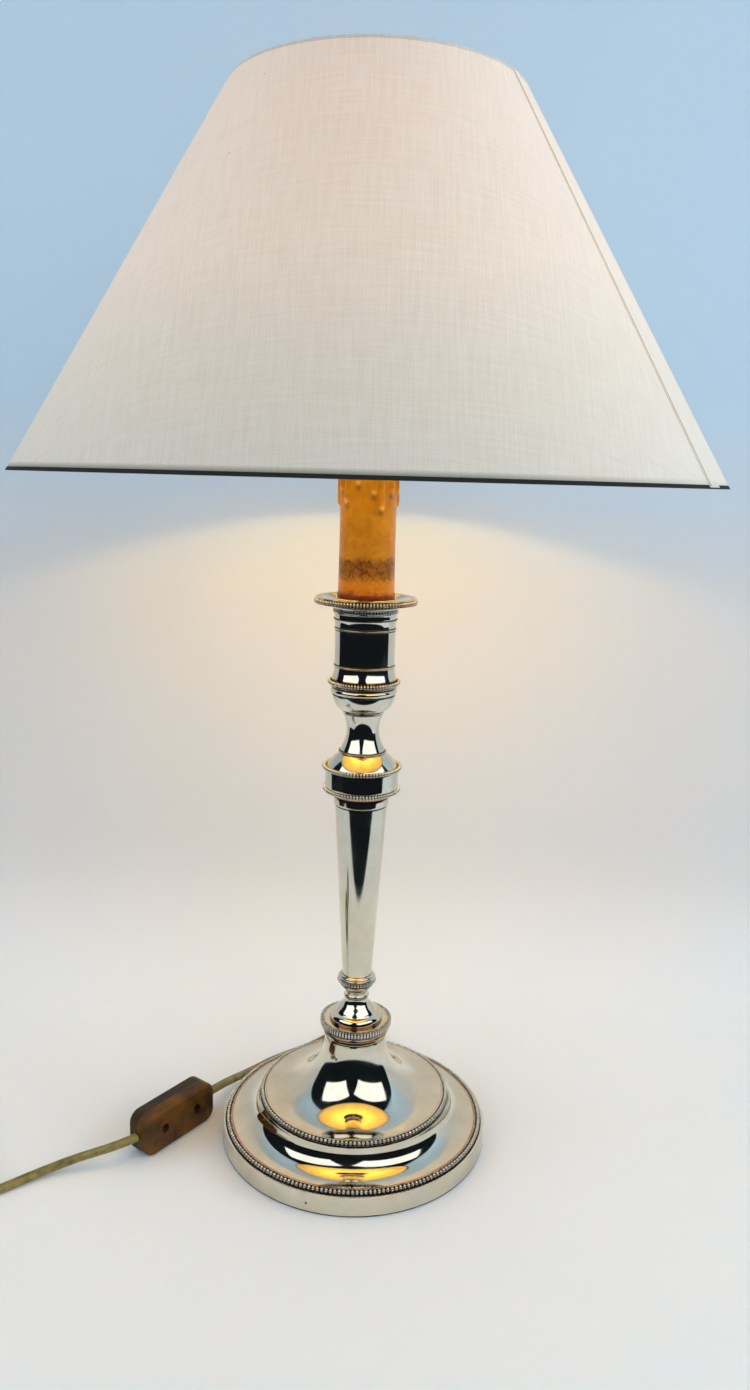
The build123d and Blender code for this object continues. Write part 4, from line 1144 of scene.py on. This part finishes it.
    def marks(self) -> dict[str, tuple[list, list]]:
        """List the rings of tarnish and of bared copper of each turned piece that has some."""
        return {
            "foot": (
                [(70.8, 12.4, 0.6), (71.2, 11.2, 0.7), (73.3, 11.2, 0.3), (53.8, 25.3, 0.5),
                 (51.4, 26.6, 0.8), (75.1, 0.4, 0.25), (19.4, 67.7, 0.5)],
                [(69.9, 12.9, 0.4), (50.2, 27.5, 0.3), (18.9, 66.2, 0.9)],
            ),
            "collar": ([(18.9, 69.9, 1.6)], [(19.9, 68.2, 0.3)]),
            "pedestal": ([(9.5, 93.3, 0.5), (8.75, 94.7, 1.2), (6.8, 84.6, 0.3)],
                         [(14.9, 72.3, 0.8), (7.1, 85.7, 0.4)]),
            "column": ([(14.2, 198.3, 0.3)], [(14.2, 198.3, 0.6)]),
            "knop": (
                [(18.6, 206.2, 0.5), (18.6, 207.2, 1.3), (19.05, 219.1, 1.1),
                 (14.7, 203.0, 0.3)],
                [(15.2, 203.5, 1.1), (17.0, 204.8, 1.0)],
            ),
            "neck": ([(12.4, 228.6, 0.3), (10.8, 249.2, 0.4)], [(13.0, 228.0, 0.25)]),
            "cup_bowl": (
                [(16.8, 263.3, 0.5), (16.9, 266.0, 1.4), (16.8, 259.5, 0.35),
                 (11.4, 250.6, 0.3)],
                [(17.9, 264.4, 0.2)],
            ),
            "cup_barrel": ([(17.5, 267.3, 0.3), (16.0, 274.35, 0.2), (16.0, 275.35, 0.2),
                            (16.0, 293.95, 0.2), (16.0, 295.05, 0.2), (16.9, 299.9, 0.5)],
                           [(17.4, 267.9, 0.2)]),
            "drip_pan": ([(16.0, 304.3, 1.2), (24.8, 309.0, 1.6), (17.4, 305.4, 0.5)],
                         [(27.0, 307.85, 0.2), (24.6, 311.1, 0.9)]),
        }

    def bore_cord_hole(self, foot: Piece) -> None:
        """Cut the hole for the flex through the back of the foot's rim."""
        bearing = math.radians(self.hole_bearing)
        drill = primitive(
            "cord_hole_drill", "cylinder", vertices=32, radius=self.hole_radius * MM,
            depth=self.hole_depth * MM,
            location=metres(math.cos(bearing) * self.hole_middle,
                            math.sin(bearing) * self.hole_middle, self.hole_height),
            rotation=(math.pi / 2, 0.0, bearing + math.pi / 2),
        )
        apply_modifier(foot, "BOOLEAN", operation="DIFFERENCE", object=drill, solver="EXACT")
        bpy.data.objects.remove(drill)

    def build(self) -> None:
        """Make the turned pieces and the rows of beads and bars."""
        plate = SilverPlate().build()
        worn = SilverPlate(
            "silver_plate_rubbed_to_copper", polish=(0.1, 0.22), bared=0.3,
        ).build()
        beaded = SilverPlate(
            "silver_plate_struck_beads", silver="DADCDA", polish=(0.2, 0.32),
        ).build()
        pitted = SilverPlate("silver_plate_foot", pit=(-23.4, -71.3, 5.2)).build()
        foot = spun("foot_shell", self.foot_outline(), steps=192, longest=0.9)
        self.bore_cord_hole(foot)
        smooth(foot)
        pieces = {"foot": foot}
        for node, outline in self.turned_outlines().items():
            steps = 96 if node in ("pedestal", "column_seat") else 128
            pieces[node] = spun("turned_" + node, outline, steps=steps, longest=0.8)
        for node, (tarnished, rubbed) in self.marks().items():
            mark_rings(pieces[node], "tarnish", tarnished)
            mark_rings(pieces[node], "wear", rubbed)
        for node, piece in pieces.items():
            finish = {"foot": pitted, "column_seat": worn}.get(node, plate)
            slot = "worn_plate" if node == "column_seat" else "silver_plate"
            finish_piece(piece, finish, Body.LAMP, slot, node)
        for node, (radius, height, count, size) in self.bead_rows.items():
            row = bead_row(node + "_struck", radius, height, count, size)
            mark_between(row, count)
            finish_piece(row, beaded, Body.LAMP, "silver_plate", node)
        for node, (name, *sizes, count) in self.tick_rows.items():
            row = tick_row(name, *sizes, count)
            mark_between(row, count, 0.5, 0.8)
            finish_piece(row, beaded, Body.LAMP, "silver_plate", node)


# ------------------------------------------------------------------ the candle sleeve


@dataclass
class CandleSleeve:
    """Resin tube cast as a candle, with wax runs from its rim."""

    bore: float = 12.6
    run_centre: float = 14.3
    run_radius: float = 1.75
    neck_share: float = 0.55
    neck_drop: float = 1.4
    rim: float = 399.1
    voxel: float = 0.5

    runs = (
        (185, 41.3), (205, 34.7), (223, 40.7), (249, 31.4), (280, 36.0), (296, 43.8),
        (322, 35.2), (349, 35.6), (5, 41.9), (32, 38.0), (61, 33.0), (92, 42.0),
        (124, 35.0), (156, 39.5),
    )

    def wax_run(self, bearing: float, reach: float) -> Piece:
        """Make one run: a drop that hangs from a long tapering neck.

        Args:
            bearing: where it stands round the sleeve, in degrees.
            reach: how far below the rim it ends.

        Returns:
            The run.
        """
        angle = math.radians(bearing)
        low = self.rim - reach + self.run_radius
        x, y = math.cos(angle) * self.run_centre, math.sin(angle) * self.run_centre
        piece = primitive("wax_run", "uv_sphere", segments=20, ring_count=12,
                          radius=self.run_radius * MM, location=metres(x, y, low))
        apply_place(piece)
        bpy.ops.object.mode_set(mode="EDIT")
        bpy.ops.mesh.select_all(action="DESELECT")
        bpy.ops.object.mode_set(mode="OBJECT")
        for vertex in piece.data.vertices:
            vertex.select = vertex.co.z > (low + 0.01) * MM
        bpy.ops.object.mode_set(mode="EDIT")
        rise = self.rim - self.neck_drop - low
        bpy.ops.transform.translate(value=(0.0, 0.0, rise * MM))
        bpy.ops.transform.resize(
            value=(self.neck_share, self.neck_share, 1.0),
            center_override=(x * MM, y * MM, self.rim * MM),
        )
        bpy.ops.object.mode_set(mode="OBJECT")
        return piece

    def mark_drops(self, tube: Piece, attribute: str, lift: float, reach: float) -> None:
        """Mark a height over each drop's lowest point, and fade from it over a reach."""
        out = self.run_centre + 1.0
        spots = [
            (math.cos(math.radians(bearing)) * out, math.sin(math.radians(bearing)) * out,
             self.rim - fall + lift)
            for bearing, fall in self.runs
        ]
        mark(tube, attribute, lambda place: max(
            math.exp(-(math.dist(place / MM, spot) / reach) ** 2) for spot in spots
        ))

    def build(self) -> None:
        """Join the tube and its runs, melt them together and dress the sleeve."""
        tube = spun(
            "candle_sleeve_cast",
            Outline((self.bore, 310.5), (15.3, 310.5), (15.3, 312.9), (14.8, 313.5),
                    (14.5, 338.5), (14.5, 370.0), (14.5, 397.9), (13.9, 398.9), (13.5, 399.1),
                    (self.bore, 399.1)),
            steps=96, ease=0.0,
        )
        runs = [self.wax_run(bearing, reach) for bearing, reach in self.runs]
        pick(tube)
        for piece in runs:
            piece.select_set(True)
        bpy.ops.object.join()
        apply_modifier(tube, "REMESH", mode="VOXEL", voxel_size=self.voxel * MM)
        apply_modifier(tube, "SMOOTH", factor=0.5, iterations=6)
        smooth(tube, 80.0)
        # masks for the painted highlight on each drop's crown and the painted shadow just under it
        self.mark_drops(tube, "drop", self.run_radius, 1.2)
        self.mark_drops(tube, "painted_shadow_under_drop", -1.0, 1.6)
        finish_piece(tube, CandleResin().build(), Body.LAMP, "candle_resin", "candle_sleeve")


# ------------------------------------------------------------------ lampholder and bulb


class HolderAndBulb:
    """Small screw lampholder with its shade ring, the lit bulb and the foot's filling."""

    def build(self) -> None:
        """Dress the holder's pieces, the bulb and what lies under the foot."""
        # white polyester moulding, slightly yellowed by heat
        ivory = PlainFinish(
            "holder_polyester", "D8D0BC", "ECE6D6", rough=(0.28, 0.4), drift=7.0, coat=0.15,
        ).build()
        for node in ("holder_base", "holder_body", "shade_ring_nut"):
            eased(node, node + "_moulding", ivory, "holder_plastic")
        # steatite: fired, matt and chalky
        dress(
            PlainFinish(
                "steatite_fired", "CFC7B4", "E2DBCA", rough=(0.6, 0.75), grain=0.25,
            ).build(), "holder_insulator", "bulb_insulator",
        )
        dress(
            BRASS, "holder_contact", "terminal_screws", "holder_shell", "bulb_contact",
            "tie_tube",
        )
        dress(
            PlainFinish(
                "nickelled_cap", "A39C90", "C9C2B6", rough=(0.2, 0.34), metallic=1.0,
                relief=0.006,
            ).build(), "bulb_cap",
        )
        dress(LitPhosphor().build(), "bulb_filament")
        glass = eased("bulb_glass", "bulb_glass_blown", BulbGlass().build(), "bulb_glass",
                      angle=50.0)
        glass.visible_shadow = False
        # zinc plated steel and sand-cast iron under the foot
        dress(
            PlainFinish(
                "zinc_plated_steel", "8E9294", "B9BCBC", rough=(0.3, 0.46), metallic=1.0,
                drift=6.0,
            ).build(), "base_plate", "tie_nut", "tie_washer",
        )
        dress(
            PlainFinish(
                "cast_iron_raw", "2A2A2C", "444346", rough=(0.6, 0.8), metallic=1.0,
                grain=0.9, relief=0.12,
            ).build(), "foot_weight",
        )
        dress(
            PlainFinish(
                "felt_wool_green", "14301C", "24492C", rough=(0.9, 1.0), grain=0.5,
                relief=0.2, sheen=0.5,
            ).build(), "base_felt",
        )


# ------------------------------------------------------------------ the shade


@dataclass
class ConeShade:
    """Cone of slub cloth on a stiff lining, with hemmed rims and a three-armed fitter."""

    low_radius: float = 175.0
    top_radius: float = 71.8
    bottom: float = 371.4
    top: float = 548.3
    inset: float = 0.15
    cloth_thickness: float = 1.1
    seam_bearing: float = 54.5
    seam_width: float = 8.0
    seam_rise: float = 0.3
    seam_edge_width: float = 0.4
    hem_width: float = 6.5
    hem_thickness: float = 0.55
    hem_inside: float = 1.95
    hem_turns: float = 1.2
    rolled_edge: float = 1.1
    flat_spare: float = 0.012

    def slope(self) -> tuple[float, float]:
        """Return the cone's slant length and the sine of its half angle."""
        fall = self.low_radius - self.top_radius
        slant = math.hypot(fall, self.top - self.bottom)
        return slant, fall / slant

    def radius_at(self, height: float, inset: float) -> float:
        """Return the cone's radius at a height, moved in by an inset."""
        share = (height - self.bottom) / (self.top - self.bottom)
        return self.low_radius + (self.top_radius - self.low_radius) * share - inset

    def cloth(self, steps: int = 240, rings: int = 24) -> Piece:
        """Spin the cloth, with its faces round it and up it."""
        rise, inner = self.top - self.bottom, self.inset + self.cloth_thickness
        heights = [self.bottom + rise * i / rings for i in range(rings + 1)]
        outside = [(self.radius_at(z, self.inset), z) for z in heights]
        inside = [(self.radius_at(z, inner), z) for z in reversed(heights)]
        return spun("shade_cloth", Outline(*outside, *inside), steps=steps, ease=0.0)

    def folded_hem(self, edge: float, way: float) -> Outline:
        """Draw the tape turned over a rim: a narrow roll outside and its width inside.

        Args:
            edge: height of the rim.
            way: 1 where the tape goes up from it, and -1 where it goes down.

        Returns:
            The tape's section.
        """
        slant, _ = self.slope()
        thick, inside = self.hem_thickness, self.hem_inside
        far = edge + way * self.hem_width * (self.top - self.bottom) / slant
        near = edge + way * self.rolled_edge
        beyond = edge - way * thick
        return Outline(
            (self.radius_at(beyond, 0.0), beyond), (self.radius_at(near, 0.0), near),
            (self.radius_at(near, thick), near), (self.radius_at(edge, thick), edge),
            (self.radius_at(edge, inside), edge), (self.radius_at(far, inside), far),
            (self.radius_at(far, inside + thick), far),
            (self.radius_at(beyond, inside + thick), beyond),
        )

    def cut_map(self, piece: Piece, seam: float) -> None:
        """Write the cloth's flat pattern as a UV map in metres, split at the seam.

        Args:
            piece: a band of the cone.
            seam: bearing of the seam from the front, in degrees.
        """
        _, sine = self.slope()
        mesh = piece.data
        layer = mesh.uv_layers.new(name="cut")
        for face in mesh.polygons:
            middle = math.degrees(math.atan2(face.center.x, -face.center.y))
            if middle > seam:
                middle -= 360.0
            for loop in face.loop_indices:
                place = mesh.vertices[mesh.loops[loop].vertex_index].co
                bearing = math.degrees(math.atan2(place.x, -place.y))
                while bearing - middle > 180.0:
                    bearing -= 360.0
                while bearing - middle < -180.0:
                    bearing += 360.0
                angle = math.radians(bearing) * sine
                reach = math.hypot(place.x, place.y) / sine
                layer.data[loop].uv = (reach * math.sin(angle), -reach * math.cos(angle))

    def seam_edge(self) -> Piece:
        """Make a thin straight strip up the cone at the lapped cloth's edge, to carry a painted
        shadow line.
        """
        bearing = math.radians(self.seam_bearing)
        away = Vector((math.sin(bearing), -math.cos(bearing), 0.0))
        foot = away * self.low_radius + Vector((0.0, 0.0, self.bottom))
        head = away * self.top_radius + Vector((0.0, 0.0, self.top))
        along = (head - foot).normalized()
        across = Vector((math.cos(bearing), math.sin(bearing), 0.0))
        outward = across.cross(along)
        edge = primitive("shade_seam_edge", "cube", size=1.0)
        columns = (
            across * self.seam_edge_width, outward * self.seam_rise * 2,
            along * ((head - foot).length - 1.0),
        )
        turn = Matrix(columns).transposed().to_4x4()
        edge.matrix_world = Matrix.Scale(MM, 4) @ Matrix.Translation((foot + head) / 2) @ turn
        apply_place(edge)
        with editing(edge):
            bpy.ops.mesh.normals_make_consistent(inside=False)
            bpy.ops.mesh.bevel(offset=0.1 * MM, segments=2)
        self.cut_map(edge, 180.0)
        smooth(edge, 60.0)
        return edge

    def raise_seam(self, piece: Piece) -> None:
        """Raise the lapped strip beside the seam."""
        reach = math.degrees(self.seam_width / 125.0)
        middle = self.inset + self.cloth_thickness / 2
        mesh = piece.data
        pick(piece)
        bpy.ops.object.mode_set(mode="EDIT")
        bpy.ops.mesh.select_mode(type="FACE")
        bpy.ops.mesh.select_all(action="DESELECT")
        bpy.ops.object.mode_set(mode="OBJECT")
        for face in mesh.polygons:
            bearing = math.degrees(math.atan2(face.center.x, -face.center.y))
            outer = math.hypot(face.center.x, face.center.y) / MM > self.radius_at(
                face.center.z / MM, middle)
            face.select = outer and self.seam_bearing < bearing < self.seam_bearing + reach
        bpy.ops.object.mode_set(mode="EDIT")
        bpy.ops.mesh.inset(thickness=0.02 * MM, depth=self.seam_rise * MM, use_boundary=True)
        bpy.ops.object.mode_set(mode="OBJECT")

    def build(self) -> None:
        """Make the cloth, its hems and the wires, and dress the lining."""
        weave = ShadeCloth().build()
        cover = self.cloth()
        self.cut_map(cover, self.seam_bearing)
        self.raise_seam(cover)
        smooth(cover, 40.0)
        finish_piece(cover, weave, Body.SHADE, "shade_fabric", "shade_cover")
        # the lower hem tape is painted near black: a painted shadow of the turned-in lower edge
        tape = ShadeCloth(
            "hem_tape_painted_shadow", cloth="1E1E18", shadow="12120E", glow=0.0, fuzz=0.0,
            rim_shadow=0.0, slub=12.0,
        ).build()
        # the seam strip's darker colour is a painted shadow line beside the lapped edge
        painted_seam_shadow = ShadeCloth(
            "painted_seam_shadow_line", cloth="9A9284", shadow="7C7466", glow=0.02,
        ).build()
        roll = ShadeCloth("hem_roll_cloth", cloth="DCD8D0", shadow="BCB6AA", glow=0.1).build()
        for node, edge, way, radius, finish in (
            ("shade_hem_bottom", self.bottom, 1.0, self.low_radius, tape),
            ("shade_hem_top", self.top, -1.0, self.top_radius, roll),
        ):
            hem = spun(node + "_tape", self.folded_hem(edge, way), steps=240, ease=0.1)
            self.cut_map(hem, self.seam_bearing)
            finish_piece(hem, finish, Body.SHADE, "hem_tape", node)
        finish_piece(self.seam_edge(), painted_seam_shadow, Body.SHADE, "shade_fabric")
        # laminated lining film, matt and cream
        lining = PlainFinish(
            "lining_laminate", "EACF7C", "F4DE92", rough=(0.6, 0.75), grain=0.6, drift=30.0,
        ).build()
        eased("shade_liner", "shade_lining_film", lining, "shade_lining", Body.SHADE, 45.0)
        # white stove enamel on steel wire
        enamel = PlainFinish(
            "wire_enamel_white", "DCD8CE", "EFECE4", rough=(0.2, 0.32), drift=8.0, coat=0.2,
        ).build()
        for node in ("shade_bottom_ring", "shade_top_ring", "shade_fitter"):
            eased(node, node + "_wire", enamel, "white_wire", Body.SHADE, 60.0)


# ------------------------------------------------------------------ floor, wall and light


@dataclass
class Studio:
    """White paper sweep, the dark room beyond it, two windows and the lit bulb."""

    front_edge: float = -265.0
    left_edge: float = -600.0
    right_edge: float = 1200.0
    curve_start: float = 120.0
    wall: float = 222.0
    wall_top: float = 1700.0
    far: float = 4000.0
    aim: float = 220.0
    bulb_height: float = 450.0
    bulb_size: float = 14.0
    bulb_power: float = 1.0
    bulb_tint: Place = (1.0, 0.7, 0.21)

    def sweep_line(self) -> list[Point]:
        """List the sweep's section as y and z, from the floor's edge up the wall."""
        reach = self.wall - self.curve_start
        line = [(self.front_edge, 0.0), (self.curve_start, 0.0)]
        for step in range(1, 13):
            angle = math.pi / 2 * step / 12
            line.append((self.curve_start + reach * math.sin(angle),
                         reach * (1 - math.cos(angle))))
        return line + [(self.wall, self.wall_top)]

    def sheet(
        self, name: str, left: float, right: float, line: list[Point], paper: Material,
    ) -> Piece:
        """Lay a strip of paper along a section.

        Args:
            name: the strip's name.
            left: its left edge.
            right: its right edge.
            line: its section as y and z.
            paper: its material.

        Returns:
            The strip.
        """
        strip = drawn_line(name, [metres(left, y, z) for y, z in line])
        with editing(strip):
            bpy.ops.mesh.extrude_region_move(
                TRANSFORM_OT_translate={"value": ((right - left) * MM, 0.0, 0.0)},
            )
        if sum(face.normal.z for face in strip.data.polygons) < 0:
            strip.data.flip_normals()
        strip.data.materials.append(paper)
        smooth(strip, 60.0)
        return strip

    def window(
        self, name: str, bearing: float, elevation: float, size: Point, strength: float,
        tint: Place = (0.9, 0.96, 1.0), distance: float = 2.4,
    ) -> Piece:
        """Hang a window of daylight.

        Args:
            name: the light's name.
            bearing: degrees from the front, to the right.
            elevation: degrees above the knop.
            size: width and height in metres.
            strength: radiance, where 1 is white.
            tint: linear colour of its light.
            distance: how far it hangs, in metres.

        Returns:
            The light.
        """
        data = bpy.data.lights.new(name, "AREA")
        data.shape = "RECTANGLE"
        data.size, data.size_y = size
        data.energy = strength * math.pi * size[0] * size[1]
        data.color = tint
        made = linked(name, data)
        a, e = math.radians(bearing), math.radians(elevation)
        away = Vector((math.sin(a) * math.cos(e), -math.cos(a) * math.cos(e), math.sin(e)))
        made.location = metres(0.0, 0.0, self.aim) + away * distance
        made.rotation_mode = "QUATERNION"
        made.rotation_quaternion = away.to_track_quat("Z", "Y")
        made.visible_camera = False
        return made

    def sky(self) -> None:
        """Set the world: pale to the camera, dim behind the metal, soft fill elsewhere."""
        world = bpy.data.worlds.new("studio_room")
        bpy.context.scene.world = world
        tree = Shader(world)
        room = tree.mix(
            tree.add("LightPath", out="Is Glossy Ray"), (0.31, 0.36, 0.41, 1.0),
            (0.008, 0.011, 0.015, 1.0),
        )
        seen = tree.mix(
            tree.add("LightPath", out="Is Camera Ray"), room, (0.80, 0.83, 0.86, 1.0),
        )
        back = tree.add("Background", {"Color": seen, "Strength": 1.0})
        tree.add("OutputWorld", {"Surface": back})

    def bulb_light(self) -> None:
        """Light the bulb: a small warm source inside the glass."""
        data = bpy.data.lights.new("bulb_light", "POINT")
        data.energy, data.color = self.bulb_power, self.bulb_tint
        data.shadow_soft_size = self.bulb_size * MM
        made = linked("bulb_light", data)
        made.location = metres(0.0, 0.0, self.bulb_height)
        made.visible_camera = False

    def build(self) -> None:
        """Set the stage, the windows and the bulb's light."""
        paper = PaperSweep().build()
        line = self.sweep_line()
        self.sheet("paper_sweep", self.left_edge, self.right_edge, line, paper)
        aprons = (
            self.sheet("apron_left", -self.far, self.left_edge, line, paper),
            self.sheet("apron_right", self.right_edge, self.far, line, paper),
            self.sheet("apron_front", -self.far, self.far,
                       [(-self.far, 0.0), (self.front_edge, 0.0)], paper),
        )
        for apron in aprons:
            apron.visible_glossy = False
        for mirrored in (
            self.window("window_left", -51.0, 33.0, (0.64, 0.4), 1.6, distance=0.62),
            self.window("window_right", 45.0, 33.0, (0.82, 0.4), 1.6, distance=0.62),
        ):
            mirrored.visible_diffuse = False
        for side in (
            self.window("window_fill_left", -66.0, 28.0, (1.35, 0.7), 1.5, distance=1.25),
            self.window("window_fill_right", 52.0, 28.0, (1.35, 0.7), 1.5, distance=1.25),
            self.window("side_fill_right", 88.0, 12.0, (1.6, 2.0), 4.0, (0.82, 0.95, 1.0)),
            self.window("side_fill_left", -96.0, 8.0, (1.6, 2.0), 1.4, (0.84, 1.0, 0.92)),
        ):
            side.visible_glossy = False
        self.sky()
        self.bulb_light()
        bpy.context.scene.view_settings.view_transform = "Standard"


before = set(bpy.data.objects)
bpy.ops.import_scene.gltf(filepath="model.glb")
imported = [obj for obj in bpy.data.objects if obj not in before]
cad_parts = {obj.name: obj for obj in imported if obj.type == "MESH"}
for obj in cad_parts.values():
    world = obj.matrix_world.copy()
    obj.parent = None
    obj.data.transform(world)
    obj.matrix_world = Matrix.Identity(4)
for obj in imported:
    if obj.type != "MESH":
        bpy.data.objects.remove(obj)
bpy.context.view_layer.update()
BRASS = PlainFinish(
    "brass_turned", "A8853A", "CBA858", rough=(0.22, 0.36), metallic=1.0, relief=0.008,
).build()


def main() -> None:
    """Build the scene: camera, lead, candlestick, sleeve, holder, shade and studio."""
    logging.basicConfig(level=logging.INFO, format="%(name)s: %(message)s")
    PhotoCamera().build()
    for part in (MainsLead(), Candlestick(), CandleSleeve(), HolderAndBulb(), ConeShade(),
                 Studio()):
        part.build()
        log.info("%s built", type(part).__name__)


if __name__ == "__main__":
    main()
